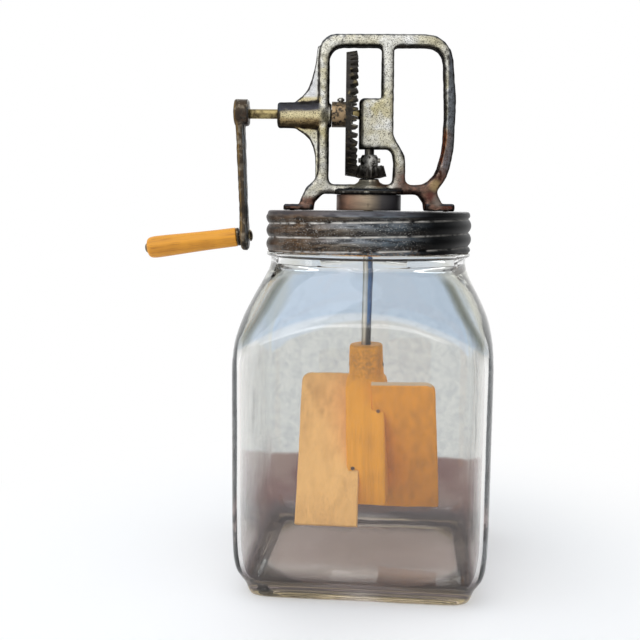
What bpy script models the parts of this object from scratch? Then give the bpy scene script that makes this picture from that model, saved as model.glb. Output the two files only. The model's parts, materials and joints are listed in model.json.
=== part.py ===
"""A butter churn: a square glass jar, a screw lid that carries an iron gear frame, a hanging crank
with a wooden grip, and a wooden dasher on a geared shaft.

Metres, +Z up. The origin is the middle of the jar's flat underside, the frame's flat sides face
-Y and +Y, and the crank hangs at -X.
"""

import math

import bmesh
import bpy
from mathutils import Matrix, Vector

MM = 0.001
HALF = 0.5
FULL_TURN = 2 * math.pi
HALF_TURN = math.pi
QUARTER_TURN = math.pi / 2
UP = (0, 0, 1)
ALONG_X = (1, 0, 0)

# Clearances and mesh fineness
SEAT_GAP = 0.3 * MM
RUNNING_GAP = 0.15 * MM
WOOD_GAP = 0.15 * MM
OVERRUN = 2.0 * MM
MERGE = 0.001 * MM
SHARP_ANGLE = math.radians(32)
ARC_STEP = math.radians(22)
ROUND_STEPS = 24
FINE_STEPS = 36
SMALL_STEPS = 12
HEAD_TURN = math.radians(4)

# Jar
JAR_WIDTH = 152.4 * MM
JAR_CORNER_CUT = 5.56 * MM
JAR_WALL = 4.75 * MM
JAR_FLOOR = 8.6 * MM
JAR_HEIGHT = 226.5 * MM
FOOT_HEIGHT = 60.0 * MM
FOOT_INSET = 10.2 * MM
SHOULDER_HEIGHT = 62.0 * MM
NECK_HEIGHT = 29.5 * MM
NECK_FOOT_RADIUS = 61.4 * MM
NECK_RADIUS = 59.8 * MM
NECK_WALL = 4.0 * MM
RIM_EDGE = 1.2 * MM
BEAD_RADIUS = 64.3 * MM
BEAD_HEIGHT = 3.4 * MM
BEAD_RISE = 5.6 * MM
GLASS_THREAD = 1.5 * MM
JAR_POINTS = 40
NECK_RINGS = 8
FOOT_SHARES = (
    (0.0, 1.0), (0.025, 0.873), (0.125, 0.676), (0.2, 0.431), (0.267, 0.235), (0.358, 0.108),
    (0.5, 0.039), (1.0, 0.0),
)
INNER_FOOT_SHARES = (
    (0.0, 1.0), (0.02, 0.75), (0.06, 0.5), (0.13, 0.28), (0.25, 0.12), (0.45, 0.03), (1.0, 0.0),
)
SHOULDER_SHARES = (
    (0.0, 0.0, 0.0), (0.16, 0.0, 0.03), (0.274, 0.0, 0.085), (0.371, 0.01, 0.185),
    (0.484, 0.09, 0.33), (0.581, 0.24, 0.45), (0.677, 0.43, 0.56), (0.758, 0.61, 0.65),
    (0.823, 0.75, 0.73), (0.887, 0.87, 0.83), (0.952, 0.965, 0.94), (1.0, 1.0, 1.0),
)
BEAD_SHARES = ((0.0, 0.0), (0.2, 0.62), (0.5, 1.0), (0.8, 0.62), (1.0, 0.0))
NECK_THREAD_SHARES = (0.12, 0.86)
CORNER_CROWDING_SHARE = 1.25

# Lid and its seal
LID_SHEET = 0.8 * MM
LID_DROP = 22.1 * MM
LID_THREAD_DEPTH = 0.95 * MM
THREAD_PLAY = 0.7 * MM
THREAD_PITCH = 8.4 * MM
THREAD_CREST_DROP = 5.5 * MM
THREAD_RINGS = 15
THREAD_FADE = 2.6 * MM
LID_CORNER = 1.8 * MM
LID_CROWN_SHARE = 0.3
LID_POINTS = 44
GASKET_THICKNESS = 1.5 * MM
GASKET_LAP = 0.6 * MM
SHAFT_HOLE_PLAY = 0.6 * MM

# Vent collar
COLLAR_RADIUS = 20.3 * MM
COLLAR_WALL = 1.2 * MM
COLLAR_HEIGHT = 9.8 * MM
VENT_HOLE_RADIUS = 0.9 * MM
VENT_HOLE_SHARE = 0.3

# Gear frame casting, heights above the underside of its feet
FRAME_HEIGHT = 107.8 * MM
FRAME_DEPTH = 14.0 * MM
FRAME_EDGE = 2.4 * MM
WEB_DEPTH = 6.4 * MM
WEB_ROUND = 1.2 * MM
LEFT_OUTER = 31.9 * MM
LEFT_INNER = 25.5 * MM
TOP_BAR = 7.3 * MM
MIDDLE_LEFT = 6.8 * MM
MIDDLE_RIGHT = 14.3 * MM
LOOP_REACH = 51.6 * MM
BASE_BAR = 6.1 * MM
CORNER_LEFT = 10.5 * MM
CORNER_RIGHT = 17.0 * MM
CRANK_HEIGHT = 59.4 * MM
DISC_RADIUS = 22.7 * MM
DISC_THICKNESS = 2.6 * MM
FOOT_REACH = 53.5 * MM
FOOT_LENGTH = 18.6 * MM
FOOT_DEPTH = 16.0 * MM
LEFT_FOOT_THICKNESS = 3.6 * MM
RIGHT_FOOT_THICKNESS = 4.5 * MM
FOOT_ROUND = 1.3 * MM
BLOCK_LEFT = 6.7 * MM
BLOCK_BOTTOM = 38.1 * MM
BLOCK_TOP = 69.0 * MM
BLOCK_CORNER = 3.0 * MM
BOSS_END = 57.7 * MM
BOSS_END_RADIUS = 8.0 * MM
BOSS_ROOT_RADIUS = 8.9 * MM
BOSS_ROUND = 1.0 * MM
BOSS_DROP = 0.7 * MM
BOSS_TAPER_SHARE = 0.35
INNER_BOSS_END = 24.1 * MM
INNER_BOSS_RADIUS = 7.2 * MM
# Each row: across, as a share of LOOP_REACH; height, as a share of the way from the base's underside
# up to the top, or down to the feet where it is negative; corner radius, as a share of FRAME_HEIGHT
LEFT_LEG_SHARES = (
    (-0.862, -0.9253, 0.0), (-0.838, -0.445, 0.05), (-0.77, 0.0379, 0.06), (-0.672, 0.0853, 0.05),
    (-0.618, 0.1338, 0.06),
)
LOOP_SHARES = (
    (1.028, 0.5918, 0.8), (1.012, 0.2773, 0.5), (0.945, 0.1118, 0.2), (0.814, 0.0202, 0.037),
    (0.925, -0.9253, 0.0), (0.671, -0.9253, 0.0), (0.663, -0.509, 0.035), (0.591, 0.0009, 0.028),
)
LEFT_UNDERSIDE_SHARES = ((-0.562, 0.0009, 0.028), (-0.663, -0.525, 0.028), (-0.674, -0.9253, 0.0))
CURVED_LEG_LEFT_SHARES = ((0.262, 0.2867, 0.037), (0.293, 0.2001, 0.15))
CURVED_LEG_FOOT_SHARE = 0.282
HAND_WINDOW_SHARES = (
    (0.862, 0.925, 0.094), (0.899, 0.5145, 0.8), (0.88, 0.2773, 0.45), (0.8, 0.1228, 0.13),
    (0.655, 0.0621, 0.085), (0.438, 0.0621, 0.032), (0.43, 0.2442, 0.11), (0.283, 0.3711, 0.06),
)
WEB_SHARES = (
    (-0.55, 0.0787, 0.0), (-0.655, 0.0787, 0.0), (-0.656, 0.2387, 0.16), (-0.715, 0.349, 0.12),
    (-0.905, 0.4174, 0.0), (-0.905, 0.5807, 0.0), (-0.755, 0.6271, 0.2), (-0.662, 0.8124, 0.32),
    (-0.632, 0.9283, 0.0), (-0.55, 0.9283, 0.0),
)
# Each row: height as a share of the way from the disc to the cone top, radius as a share of DISC_RADIUS
CONE_SHARES = ((0.06, 0.62), (0.4, 0.52), (0.5, 0.41), (0.64, 0.325), (0.78, 0.283), (1.0, 0.27))
WINDOW_TOP_LEFT = 8.5 * MM
WINDOW_TOP_RIGHT = 2.4 * MM
WINDOW_CORNER = 3.5 * MM
BLOCK_FILLET = 1.0 * MM
LOOP_TOP_SHARE = 0.956

# Foot screws and nuts
FOOT_SCREW_X = 48.4 * MM
SCREW_RADIUS = 1.5 * MM
SCREW_HEAD_RADIUS = 3.0 * MM
SCREW_HEAD_HEIGHT = 1.7 * MM
SLOT_WIDTH = 0.9 * MM
SLOT_DEPTH = 0.8 * MM
SLOT_OVERLENGTH_SHARE = 1.3
HEAD_DOME_SHARE = 0.55
NUT_RADIUS = 3.4 * MM
NUT_HEIGHT = 2.4 * MM
NUT_TAIL = 1.0 * MM
NUT_SIDES = 6

# Gear pair
GEAR_TEETH = 44
PINION_TEETH = 11
MODULE = 1.745 * MM
GEAR_FACE = 3.7 * MM
PINION_FACE = 7.0 * MM
GEAR_ADDENDUM_SHARE = 0.6
PINION_ADDENDUM_SHARE = 0.85
DEDENDUM_SHARE = 1.8
TOOTH_SHARES = ((-0.3, False), (-0.13, True), (0.13, True), (0.3, False))
GEAR_BACKING = 5.6 * MM
GEAR_RIM_INNER = 31.6 * MM
GEAR_WEB_RECESS = 1.2 * MM
GEAR_WEB_THICKNESS = 1.6 * MM
GEAR_WEB_LAP = 1.0 * MM
GEAR_HUB_RADIUS = 7.9 * MM
GEAR_HUB_FRONT = 1.7 * MM
PINION_BACKING = 0.9 * MM
PINION_RING_INNER = 4.0 * MM
PINION_CORE_RADIUS = 4.8 * MM
PINION_HUB_RADIUS = 5.6 * MM
PINION_HUB_TOP_RADIUS = 4.5 * MM
PINION_HUB_HEIGHT = 6.8 * MM
PINION_CORE_SHARES = (0.7, 0.95)
PINION_DOME_SHARE = 0.72
SET_SCREW_RADIUS = 1.5 * MM
SET_SCREW_HEAD_RADIUS = 2.3 * MM
SET_SCREW_HEAD = 2.1 * MM
SET_SCREW_X = 18.3 * MM
PINION_PIN_RADIUS = 1.5 * MM
PINION_PIN_REACH = 6.9 * MM
PINION_PIN_SHARE = 0.5

# Crank
SHAFT_RADIUS = 3.0 * MM
CRANK_OUTER = 84.8 * MM
CRANK_HUB_WIDTH = 9.2 * MM
CRANK_HUB_RADIUS = 8.4 * MM
CRANK_HUB_ROUND = 0.8 * MM
CRANK_HUB_RISE = 0.7 * MM
CRANK_RADIUS = 76.2 * MM
ARM_INSET = 0.7 * MM
ARM_THICKNESS = 5.6 * MM
ARM_TIP_THICKNESS = 5.2 * MM
ARM_WAIST = 11.0 * MM
ARM_TIP_WAIST = 9.4 * MM
ARM_HEAD_RADIUS = 8.0 * MM
ARM_TIP_RADIUS = 9.2 * MM
ARM_ROUND = 1.4 * MM
ARM_LEAN = math.radians(2.15)
ARM_END_STEPS = 10
ARM_END_SWEEP = math.radians(238)
ARM_NECK_SHARE = 1.5
CRANKSHAFT_INNER = 8.6 * MM

# Grip
GRIP_DROOP = math.radians(7.6)
GRIP_LENGTH = 57.3 * MM
GRIP_RADIUS = 5.9 * MM
GRIP_END_RADIUS = 6.9 * MM
SPINDLE_RADIUS = 2.3 * MM
RIVET_RADIUS = 3.9 * MM
RIVET_HEIGHT = 1.9 * MM
OUTER_RIVET_RADIUS = 3.1 * MM
OUTER_RIVET_HEIGHT = 1.6 * MM
RIVET_CROWN_SHARE = 0.6
RIVET_EDGE_SHARE = 0.4
GRIP_WASHER_RADIUS = 5.7 * MM
GRIP_WASHER_THICKNESS = 1.4 * MM
GRIP_SHARES = (
    (0.0, 0.0, 0.93), (0.02, 0.0, 1.0), (0.25, 0.12, 1.0), (0.5, 0.42, 1.0), (0.75, 0.82, 1.0),
    (0.88, 1.0, 1.0), (0.94, 1.0, 0.97), (0.98, 1.0, 0.84), (1.0, 1.0, 0.66),
)

# Dasher
DASHER_TURN = math.radians(-7.5)
DASHER_LEAN = math.radians(1.7)
LEAN_PIVOT_Z = 140.0 * MM
SHAFT_TOP_GAP = 1.0 * MM
SHAFT_BOTTOM_Z = 104.0 * MM
HUB_WIDTH = 24.8 * MM
HUB_BOTTOM_Z = 42.2 * MM
HUB_SHOULDER_Z = 118.5 * MM
HUB_TOP_Z = 144.4 * MM
HUB_TURNED_RADIUS = 18.4 * MM
HUB_EDGE = 1.0 * MM
NECK_FOOT_RISE = 7.0 * MM
DASHER_NECK_RADIUS = 10.5 * MM
DASHER_NECK_FLARE = 0.7 * MM
PADDLE_THICKNESS = 5.0 * MM
PADDLE_INNER = 4.8 * MM
PADDLE_REACH = 44.5 * MM
PADDLE_ABOVE = 42.2 * MM
PADDLE_BELOW = 58.0 * MM
PADDLE_TILT = math.radians(25)
PADDLE_CROSS_Z = 84.1 * MM
PADDLE_CORNER = 6.0 * MM
PADDLE_FOOT_CORNER = 1.2 * MM
PADDLE_EDGE = 0.6 * MM
NAIL_RADIUS = 0.9 * MM
NAIL_HEAD_RADIUS = 1.7 * MM
NAIL_HEAD = 0.5 * MM
NAIL_LENGTH = 15.0 * MM
NAIL_HIGH_Z = 103.5 * MM
NAIL_LOW_Z = 66.0 * MM
NAIL_OUT = 8.4 * MM
NECK_PIN_Z = 131.6 * MM
NECK_PIN_RADIUS = 1.2 * MM
NECK_PIN_PROUD = 0.7 * MM

# Places worked out from the sizes above
JAR_HALF = JAR_WIDTH * HALF
JAR_CORNER_REACH = JAR_HALF * math.sqrt(2) - JAR_CORNER_CUT
NECK_START = JAR_HEIGHT - NECK_HEIGHT
SHOULDER_START = NECK_START - SHOULDER_HEIGHT
THREAD_CREST_Z = JAR_HEIGHT - THREAD_CREST_DROP
LID_CEILING_Z = JAR_HEIGHT + SEAT_GAP + GASKET_THICKNESS + SEAT_GAP
LID_TOP_Z = LID_CEILING_Z + LID_SHEET
LID_BOTTOM_Z = JAR_HEIGHT - LID_DROP
LID_VALLEY_RADIUS = NECK_RADIUS + GLASS_THREAD + THREAD_PLAY + LID_SHEET
LID_MIDDLE_RADIUS = LID_VALLEY_RADIUS + LID_THREAD_DEPTH
LID_INNER_RADIUS = LID_MIDDLE_RADIUS - LID_SHEET
FRAME_Z = LID_TOP_Z + SEAT_GAP
COLLAR_Z = LID_TOP_Z + SEAT_GAP
BASE_UNDERSIDE = COLLAR_Z + COLLAR_HEIGHT + SEAT_GAP - FRAME_Z
CRANK_Z = FRAME_Z + CRANK_HEIGHT
GEAR_PITCH_RADIUS = GEAR_TEETH * MODULE * HALF
PINION_PITCH_RADIUS = PINION_TEETH * MODULE * HALF
PITCH_CONE = math.hypot(GEAR_PITCH_RADIUS, PINION_PITCH_RADIUS)
PINION_HEEL_Z = CRANK_Z - GEAR_PITCH_RADIUS
PINION_TOE = GEAR_PITCH_RADIUS * PINION_FACE / PITCH_CONE
PINION_TOP = PINION_TOE + PINION_HUB_HEIGHT
PINION_PIN_Z = PINION_HEEL_Z + PINION_TOE + PINION_HUB_HEIGHT * PINION_PIN_SHARE
CONE_TOP_Z = PINION_HEEL_Z - PINION_BACKING - SEAT_GAP
GEAR_HEEL_X = -PINION_PITCH_RADIUS
BORE_RADIUS = SHAFT_RADIUS + RUNNING_GAP
ARM_MIDDLE_X = -CRANK_OUTER + ARM_INSET + ARM_THICKNESS * HALF
GRIP_Z = CRANK_Z - CRANK_RADIUS
GRIP_X = ARM_MIDDLE_X + CRANK_RADIUS * math.tan(ARM_LEAN)
GRIP_DIRECTION = Vector((-math.cos(GRIP_DROOP), 0, -math.sin(GRIP_DROOP)))
ARM_SKEW = math.tan(GRIP_DROOP - ARM_LEAN)
WASHER_START = ARM_TIP_THICKNESS * HALF + GRIP_WASHER_RADIUS * ARM_SKEW + SEAT_GAP
GRIP_START = WASHER_START + GRIP_WASHER_THICKNESS + SEAT_GAP
RIVET_SEAT = ARM_TIP_THICKNESS * HALF + RIVET_RADIUS * ARM_SKEW + SEAT_GAP
NECK_FOOT_Z = HUB_SHOULDER_Z + NECK_FOOT_RISE
HEAD_PLACE = Matrix.Rotation(HEAD_TURN, 4, "Z")


def clear_scene():
    for old in list(bpy.data.objects):
        bpy.data.objects.remove(old, do_unlink=True)


def finish_colour(name, colour, roughness, metallic):
    material = bpy.data.materials.new(name)
    material.use_nodes = True
    shader = material.node_tree.nodes["Principled BSDF"]
    shader.inputs["Base Color"].default_value = (*colour, 1)
    shader.inputs["Roughness"].default_value = roughness
    shader.inputs["Metallic"].default_value = metallic
    return material


def clear_glass():
    material = finish_colour("clear_glass", (0.86, 0.84, 0.87), 0.03, 0)
    material.node_tree.nodes["Principled BSDF"].inputs["Transmission Weight"].default_value = 0.9
    return material


def dull_zinc():
    return finish_colour("dull_zinc", (0.23, 0.22, 0.21), 0.45, 0.9)


def worn_iron():
    return finish_colour("worn_plated_iron", (0.34, 0.31, 0.26), 0.42, 0.85)


def dark_iron():
    return finish_colour("dark_iron", (0.09, 0.085, 0.08), 0.5, 0.8)


def oily_steel():
    return finish_colour("oily_steel", (0.25, 0.23, 0.2), 0.35, 0.95)


def cork_seal():
    return finish_colour("cork_seal", (0.45, 0.3, 0.17), 0.9, 0)


def grip_wood():
    return finish_colour("varnished_grip_wood", (0.62, 0.31, 0.08), 0.4, 0)


def hub_wood():
    return finish_colour("hub_wood", (0.55, 0.27, 0.07), 0.6, 0)


def board_wood(name, colour):
    return finish_colour(name, colour, 0.65, 0)


def facing(direction):
    """A turn that takes +Z to the given direction."""
    return Vector(UP).rotation_difference(Vector(direction)).to_matrix().to_4x4()


def made_object(name, bm, material=None, place=None):
    bmesh.ops.recalc_face_normals(bm, faces=bm.faces)
    mesh = bpy.data.meshes.new(name)
    bm.to_mesh(mesh)
    bm.free()
    mesh.shade_smooth()
    mesh.set_sharp_from_angle(angle=SHARP_ANGLE)
    if material:
        mesh.materials.append(material)
    made = bpy.data.objects.new(name, mesh)
    bpy.context.scene.collection.objects.link(made)
    if place:
        made.matrix_world = place
    return made


def helper(name, bm, place=None):
    """A cutter or an added shape, which is no piece by itself."""
    made = made_object(name, bm, None, place)
    made.hide_render = True
    made.display_type = "WIRE"
    return made


def helper_group(name, shapes):
    """Several separate shapes, each a bmesh and its place, as one helper."""
    whole = bmesh.new()
    for bm, place in shapes:
        bmesh.ops.transform(bm, matrix=place, verts=bm.verts)
        mesh = bpy.data.meshes.new(name)
        bm.to_mesh(mesh)
        bm.free()
        whole.from_mesh(mesh)
        bpy.data.meshes.remove(mesh)
    return helper(name, whole)


def combine(target, other, operation):
    step = target.modifiers.new(other.name, "BOOLEAN")
    step.object = other
    step.operation = operation
    step.solver = "EXACT"


def cut(target, *cutters):
    for cutter in cutters:
        combine(target, cutter, "DIFFERENCE")


def add(target, *others):
    for other in others:
        combine(target, other, "UNION")


def turned(profile, steps=ROUND_STEPS):
    """A profile of (radius, height) points spun about Z, open where it starts and ends on the axis."""
    bm = bmesh.new()
    verts = [bm.verts.new((radius, 0, height)) for radius, height in profile]
    ends = list(zip(verts, verts[1:]))
    if profile[0][0] > 0:
        ends.append((verts[-1], verts[0]))
    edges = [bm.edges.new(pair) for pair in ends]
    bmesh.ops.spin(
        bm, geom=verts + edges, cent=(0, 0, 0), axis=UP, angle=FULL_TURN, steps=steps, use_merge=True
    )
    bmesh.ops.remove_doubles(bm, verts=bm.verts, dist=MERGE)
    return bm


def rod(radius, low, high, steps=ROUND_STEPS):
    return turned(((0, low), (radius, low), (radius, high), (0, high)), steps)


def ring_profile(inner, outer, low, high):
    return ((outer, high), (outer, low), (inner, low), (inner, high))


def headed_rod(radius, head_radius, tail, seat, top, steps=SMALL_STEPS):
    """A shank from tail to seat with a domed head from seat to top."""
    shoulder = seat + (top - seat) * HEAD_DOME_SHARE
    crown = head_radius * HEAD_DOME_SHARE
    return turned(
        ((0, tail), (radius, tail), (radius, seat), (head_radius, seat), (head_radius, shoulder),
         (crown, top), (0, top)),
        steps,
    )


def box(low, high):
    bm = bmesh.new()
    bmesh.ops.create_cube(bm, size=1)
    low = Vector(low)
    high = Vector(high)
    bmesh.ops.scale(bm, vec=high - low, verts=bm.verts)
    bmesh.ops.translate(bm, vec=(low + high) * HALF, verts=bm.verts)
    return bm


def bevelled(bm, width, segments=1, edges=None):
    bmesh.ops.bevel(
        bm, geom=list(edges or bm.edges), offset=width, offset_type="OFFSET", segments=segments,
        profile=0.5, affect="EDGES", material=-1, clamp_overlap=True,
    )
    return bm


def rounded(corners):
    """An outline of (across, up, radius) corners, each corner turned into an arc."""
    outline = []
    for index, (across, up, radius) in enumerate(corners):
        here = Vector((across, up))
        if radius == 0:
            outline.append(here)
            continue
        back = (Vector(corners[index - 1][:2]) - here).normalized()
        ahead = (Vector(corners[(index + 1) % len(corners)][:2]) - here).normalized()
        half_angle = back.angle(ahead) * HALF
        centre = here + (back + ahead).normalized() * radius / math.sin(half_angle)
        start = here + back * radius / math.tan(half_angle) - centre
        end = here + ahead * radius / math.tan(half_angle) - centre
        turn = math.atan2(start.cross(end), start.dot(end))
        count = max(2, math.ceil(abs(turn) / ARC_STEP))
        for step in range(count + 1):
            outline.append(centre + Matrix.Rotation(turn * step / count, 2) @ start)
    return outline


def slab(outline, depth):
    """An outline in X and Z, extruded to the given depth about Y = 0."""
    bm = bmesh.new()
    verts = [bm.verts.new((point.x, -depth * HALF, point.y)) for point in outline]
    face = bm.faces.new(verts)
    grown = bmesh.ops.extrude_face_region(bm, geom=[face])
    moved = [item for item in grown["geom"] if isinstance(item, bmesh.types.BMVert)]
    bmesh.ops.translate(bm, vec=(0, depth, 0), verts=moved)
    return bm


def corner_angles(count):
    """Angles round a square ring, crowded towards its corners."""
    per_side = count // 4
    angles = []
    for side in range(4):
        for step in range(per_side):
            offset = 2 * step / per_side - 1
            crowded = math.copysign(1 - (1 - abs(offset)) ** (1 / CORNER_CROWDING_SHARE), offset)
            blended = (offset + crowded) * HALF
            angles.append(QUARTER_TURN * (side + HALF) + QUARTER_TURN * HALF * blended)
    return angles


def square_radius(angle, half, reach):
    """Distance from the axis of a square with soft corners: half at its sides, reach at its corners."""
    power = -1 / math.log2(reach / (half * math.sqrt(2)))
    spread = abs(math.cos(angle)) ** power + abs(math.sin(angle)) ** power
    return half / spread ** (1 / power)


def threaded(angle, height, crest_height, pitch):
    """How near a point is to the crest of a right-hand thread, from 0 to 1."""
    turns = (height - crest_height) / pitch - angle / FULL_TURN
    return HALF + HALF * math.cos(FULL_TURN * turns)


def ring_loft(rings, closed):
    """Rings of points joined into a skin, with flat ends or with its last ring joined to its first."""
    bm = bmesh.new()
    loops = [[bm.verts.new(point) for point in ring] for ring in rings]
    count = len(loops[0])
    pairs = list(zip(loops, loops[1:]))
    if closed:
        pairs.append((loops[-1], loops[0]))
    for lower, upper in pairs:
        for index in range(count):
            after = (index + 1) % count
            bm.faces.new((lower[index], lower[after], upper[after], upper[index]))
    if not closed:
        bm.faces.new(loops[0])
        bm.faces.new(loops[-1])
    return bm


def ring_points(angles, height, radius_at):
    return [
        (math.cos(angle) * radius_at(angle), math.sin(angle) * radius_at(angle), height)
        for angle in angles
    ]


def square_ring(angles, height, side, corner):
    return ring_points(angles, height, lambda angle: square_radius(angle, side, corner))


def round_ring(angles, height, radius):
    return ring_points(angles, height, lambda angle: radius)


def glass_rings(angles, foot_table, foot_z, half, reach, neck_radius):
    """Rings of one glass surface, from the foot up to the start of the neck."""
    rings = []
    for height_share, inset_share in foot_table:
        side = half - FOOT_INSET * inset_share
        corner = side * reach / half
        height = foot_z + (FOOT_HEIGHT - foot_z) * height_share
        rings.append(square_ring(angles, height, side, corner))
    for height_share, side_share, corner_share in SHOULDER_SHARES:
        height = SHOULDER_START + (NECK_START - SHOULDER_START) * height_share
        side = half + (neck_radius - half) * side_share
        corner = reach + (neck_radius - reach) * corner_share
        rings.append(square_ring(angles, height, side, corner))
    return rings


def neck_height(share):
    low = NECK_START + BEAD_RISE + BEAD_HEIGHT * HALF + SEAT_GAP
    return low + (JAR_HEIGHT - RIM_EDGE - low) * share


def thread_ridge(angle, height):
    """The raised glass thread, only in the middle of the neck."""
    low, high = [neck_height(share) for share in NECK_THREAD_SHARES]
    if not low < height < high:
        return 0
    return GLASS_THREAD * threaded(angle, height, THREAD_CREST_Z, THREAD_PITCH) ** 2


def make_jar(glass):
    angles = corner_angles(JAR_POINTS)
    rings = glass_rings(angles, FOOT_SHARES, 0, JAR_HALF, JAR_CORNER_REACH, NECK_FOOT_RADIUS)
    bead_low = NECK_START + BEAD_RISE - BEAD_HEIGHT * HALF
    for height_share, radius_share in BEAD_SHARES:
        radius = NECK_FOOT_RADIUS + (BEAD_RADIUS - NECK_FOOT_RADIUS) * radius_share
        rings.append(round_ring(angles, bead_low + BEAD_HEIGHT * height_share, radius))
    for index in range(NECK_RINGS + 1):
        height = neck_height(index / NECK_RINGS)
        rings.append(ring_points(angles, height, lambda a, h=height: NECK_RADIUS + thread_ridge(a, h)))
    inner_neck = NECK_RADIUS - NECK_WALL
    rings.append(round_ring(angles, JAR_HEIGHT, NECK_RADIUS - RIM_EDGE))
    rings.append(round_ring(angles, JAR_HEIGHT, inner_neck + RIM_EDGE))
    rings.append(round_ring(angles, JAR_HEIGHT - RIM_EDGE, inner_neck))
    inner = glass_rings(
        angles, INNER_FOOT_SHARES, JAR_FLOOR, JAR_HALF - JAR_WALL, JAR_CORNER_REACH - JAR_WALL, inner_neck
    )
    rings.extend(reversed(inner))
    return made_object("jar", ring_loft(rings, closed=False), glass)


def lid_wave(angle, height):
    """The lid's rolled thread, fading out towards its lower edge and its top corner."""
    from_edge = min(height - LID_BOTTOM_Z, LID_TOP_Z - LID_CORNER - height)
    strength = min(1, max(0, from_edge / THREAD_FADE))
    return LID_THREAD_DEPTH * (2 * threaded(angle, height, THREAD_CREST_Z, THREAD_PITCH) - 1) * strength


def make_lid(zinc):
    angles = [FULL_TURN * index / LID_POINTS for index in range(LID_POINTS)]
    hole = SHAFT_RADIUS + SHAFT_HOLE_PLAY
    wall_top = LID_TOP_Z - LID_CORNER
    outer = []
    inner = []
    for index in range(THREAD_RINGS):
        height = LID_BOTTOM_Z + (wall_top - LID_BOTTOM_Z) * index / (THREAD_RINGS - 1)
        outer.append(ring_points(angles, height, lambda a, h=height: LID_MIDDLE_RADIUS + lid_wave(a, h)))
        inner.append(ring_points(angles, height, lambda a, h=height: LID_INNER_RADIUS + lid_wave(a, h)))
    inner = inner[:-1]
    crown = LID_CORNER * LID_CROWN_SHARE
    outer.append(round_ring(angles, LID_TOP_Z - crown, LID_MIDDLE_RADIUS - crown))
    outer.append(round_ring(angles, LID_TOP_Z, LID_MIDDLE_RADIUS - LID_CORNER))
    outer.append(round_ring(angles, LID_TOP_Z, hole))
    inner_corner = LID_CORNER - LID_SHEET
    inner.append(round_ring(angles, LID_CEILING_Z - inner_corner, LID_INNER_RADIUS))
    inner.append(round_ring(angles, LID_CEILING_Z, LID_INNER_RADIUS - inner_corner))
    inner.append(round_ring(angles, LID_CEILING_Z, hole))
    skin = ring_loft(outer + inner[::-1], closed=True)
    bmesh.ops.triangulate(skin, faces=skin.faces)
    lid = made_object("lid", skin, zinc)
    holes = [
        (rod(SCREW_RADIUS + RUNNING_GAP, -OVERRUN, OVERRUN, SMALL_STEPS),
         Matrix.Translation((side * FOOT_SCREW_X, 0, LID_TOP_Z)))
        for side in (-1, 1)
    ]
    cut(lid, helper_group("lid_screw_holes", holes))
    return lid


def make_gasket(cork):
    low = JAR_HEIGHT + SEAT_GAP
    inner = NECK_RADIUS - NECK_WALL - GASKET_LAP
    outer = NECK_RADIUS + GASKET_LAP
    bm = turned(ring_profile(inner, outer, low, low + GASKET_THICKNESS), FINE_STEPS)
    return made_object("lid_gasket", bm, cork)


def make_collar(zinc):
    profile = ring_profile(COLLAR_RADIUS - COLLAR_WALL, COLLAR_RADIUS, COLLAR_Z, COLLAR_Z + COLLAR_HEIGHT)
    collar = made_object("vent_collar", turned(profile, FINE_STEPS), zinc)
    hole = helper("vent_hole", rod(VENT_HOLE_RADIUS, 0, COLLAR_RADIUS + OVERRUN, SMALL_STEPS),
                  facing((0, -1, 0)))
    hole.location = (0, 0, COLLAR_Z + COLLAR_HEIGHT * VENT_HOLE_SHARE)
    cut(collar, hole)
    return collar


def frame_points(table):
    points = []
    for across, rise, radius in table:
        way = BASE_UNDERSIDE if rise < 0 else FRAME_HEIGHT - BASE_UNDERSIDE
        height = FRAME_Z + BASE_UNDERSIDE + way * rise
        points.append((across * LOOP_REACH, height, radius * FRAME_HEIGHT))
    return points


def frame_outlines():
    """The casting's outer outline and its two windows."""
    top = FRAME_Z + FRAME_HEIGHT
    window_top = top - TOP_BAR
    window_low = FRAME_Z + BASE_UNDERSIDE + BASE_BAR
    block_top = FRAME_Z + BLOCK_TOP
    block_low = FRAME_Z + BLOCK_BOTTOM
    outer = frame_points(LEFT_LEG_SHARES)
    outer.append((-LEFT_OUTER, top, CORNER_LEFT))
    outer.append((LOOP_REACH * LOOP_TOP_SHARE, top, CORNER_RIGHT))
    outer += frame_points(LOOP_SHARES + LEFT_UNDERSIDE_SHARES)
    gear_window = [
        (-LEFT_INNER, window_top, WINDOW_TOP_LEFT), (MIDDLE_LEFT, window_top, WINDOW_TOP_RIGHT),
        (MIDDLE_LEFT, block_top, BLOCK_FILLET), (-BLOCK_LEFT, block_top, BLOCK_CORNER),
        (-BLOCK_LEFT, block_low, 0),
    ]
    gear_window += frame_points(CURVED_LEG_LEFT_SHARES)
    gear_window.append((LOOP_REACH * CURVED_LEG_FOOT_SHARE, window_low, WINDOW_CORNER))
    gear_window.append((-LEFT_INNER, window_low, WINDOW_CORNER))
    hand_window = [(MIDDLE_RIGHT, window_top, WINDOW_TOP_RIGHT)] + frame_points(HAND_WINDOW_SHARES)
    return [rounded(outline) for outline in (outer, gear_window, hand_window)]


def frame_web():
    """The thinner web on the outer side of the left upright."""
    web = slab(rounded(frame_points(WEB_SHARES)), WEB_DEPTH)
    rims = [edge for edge in web.edges if abs(edge.verts[0].co.y - edge.verts[1].co.y) < MERGE]
    return helper("frame_web", bevelled(web, WEB_ROUND, 1, rims))


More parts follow.
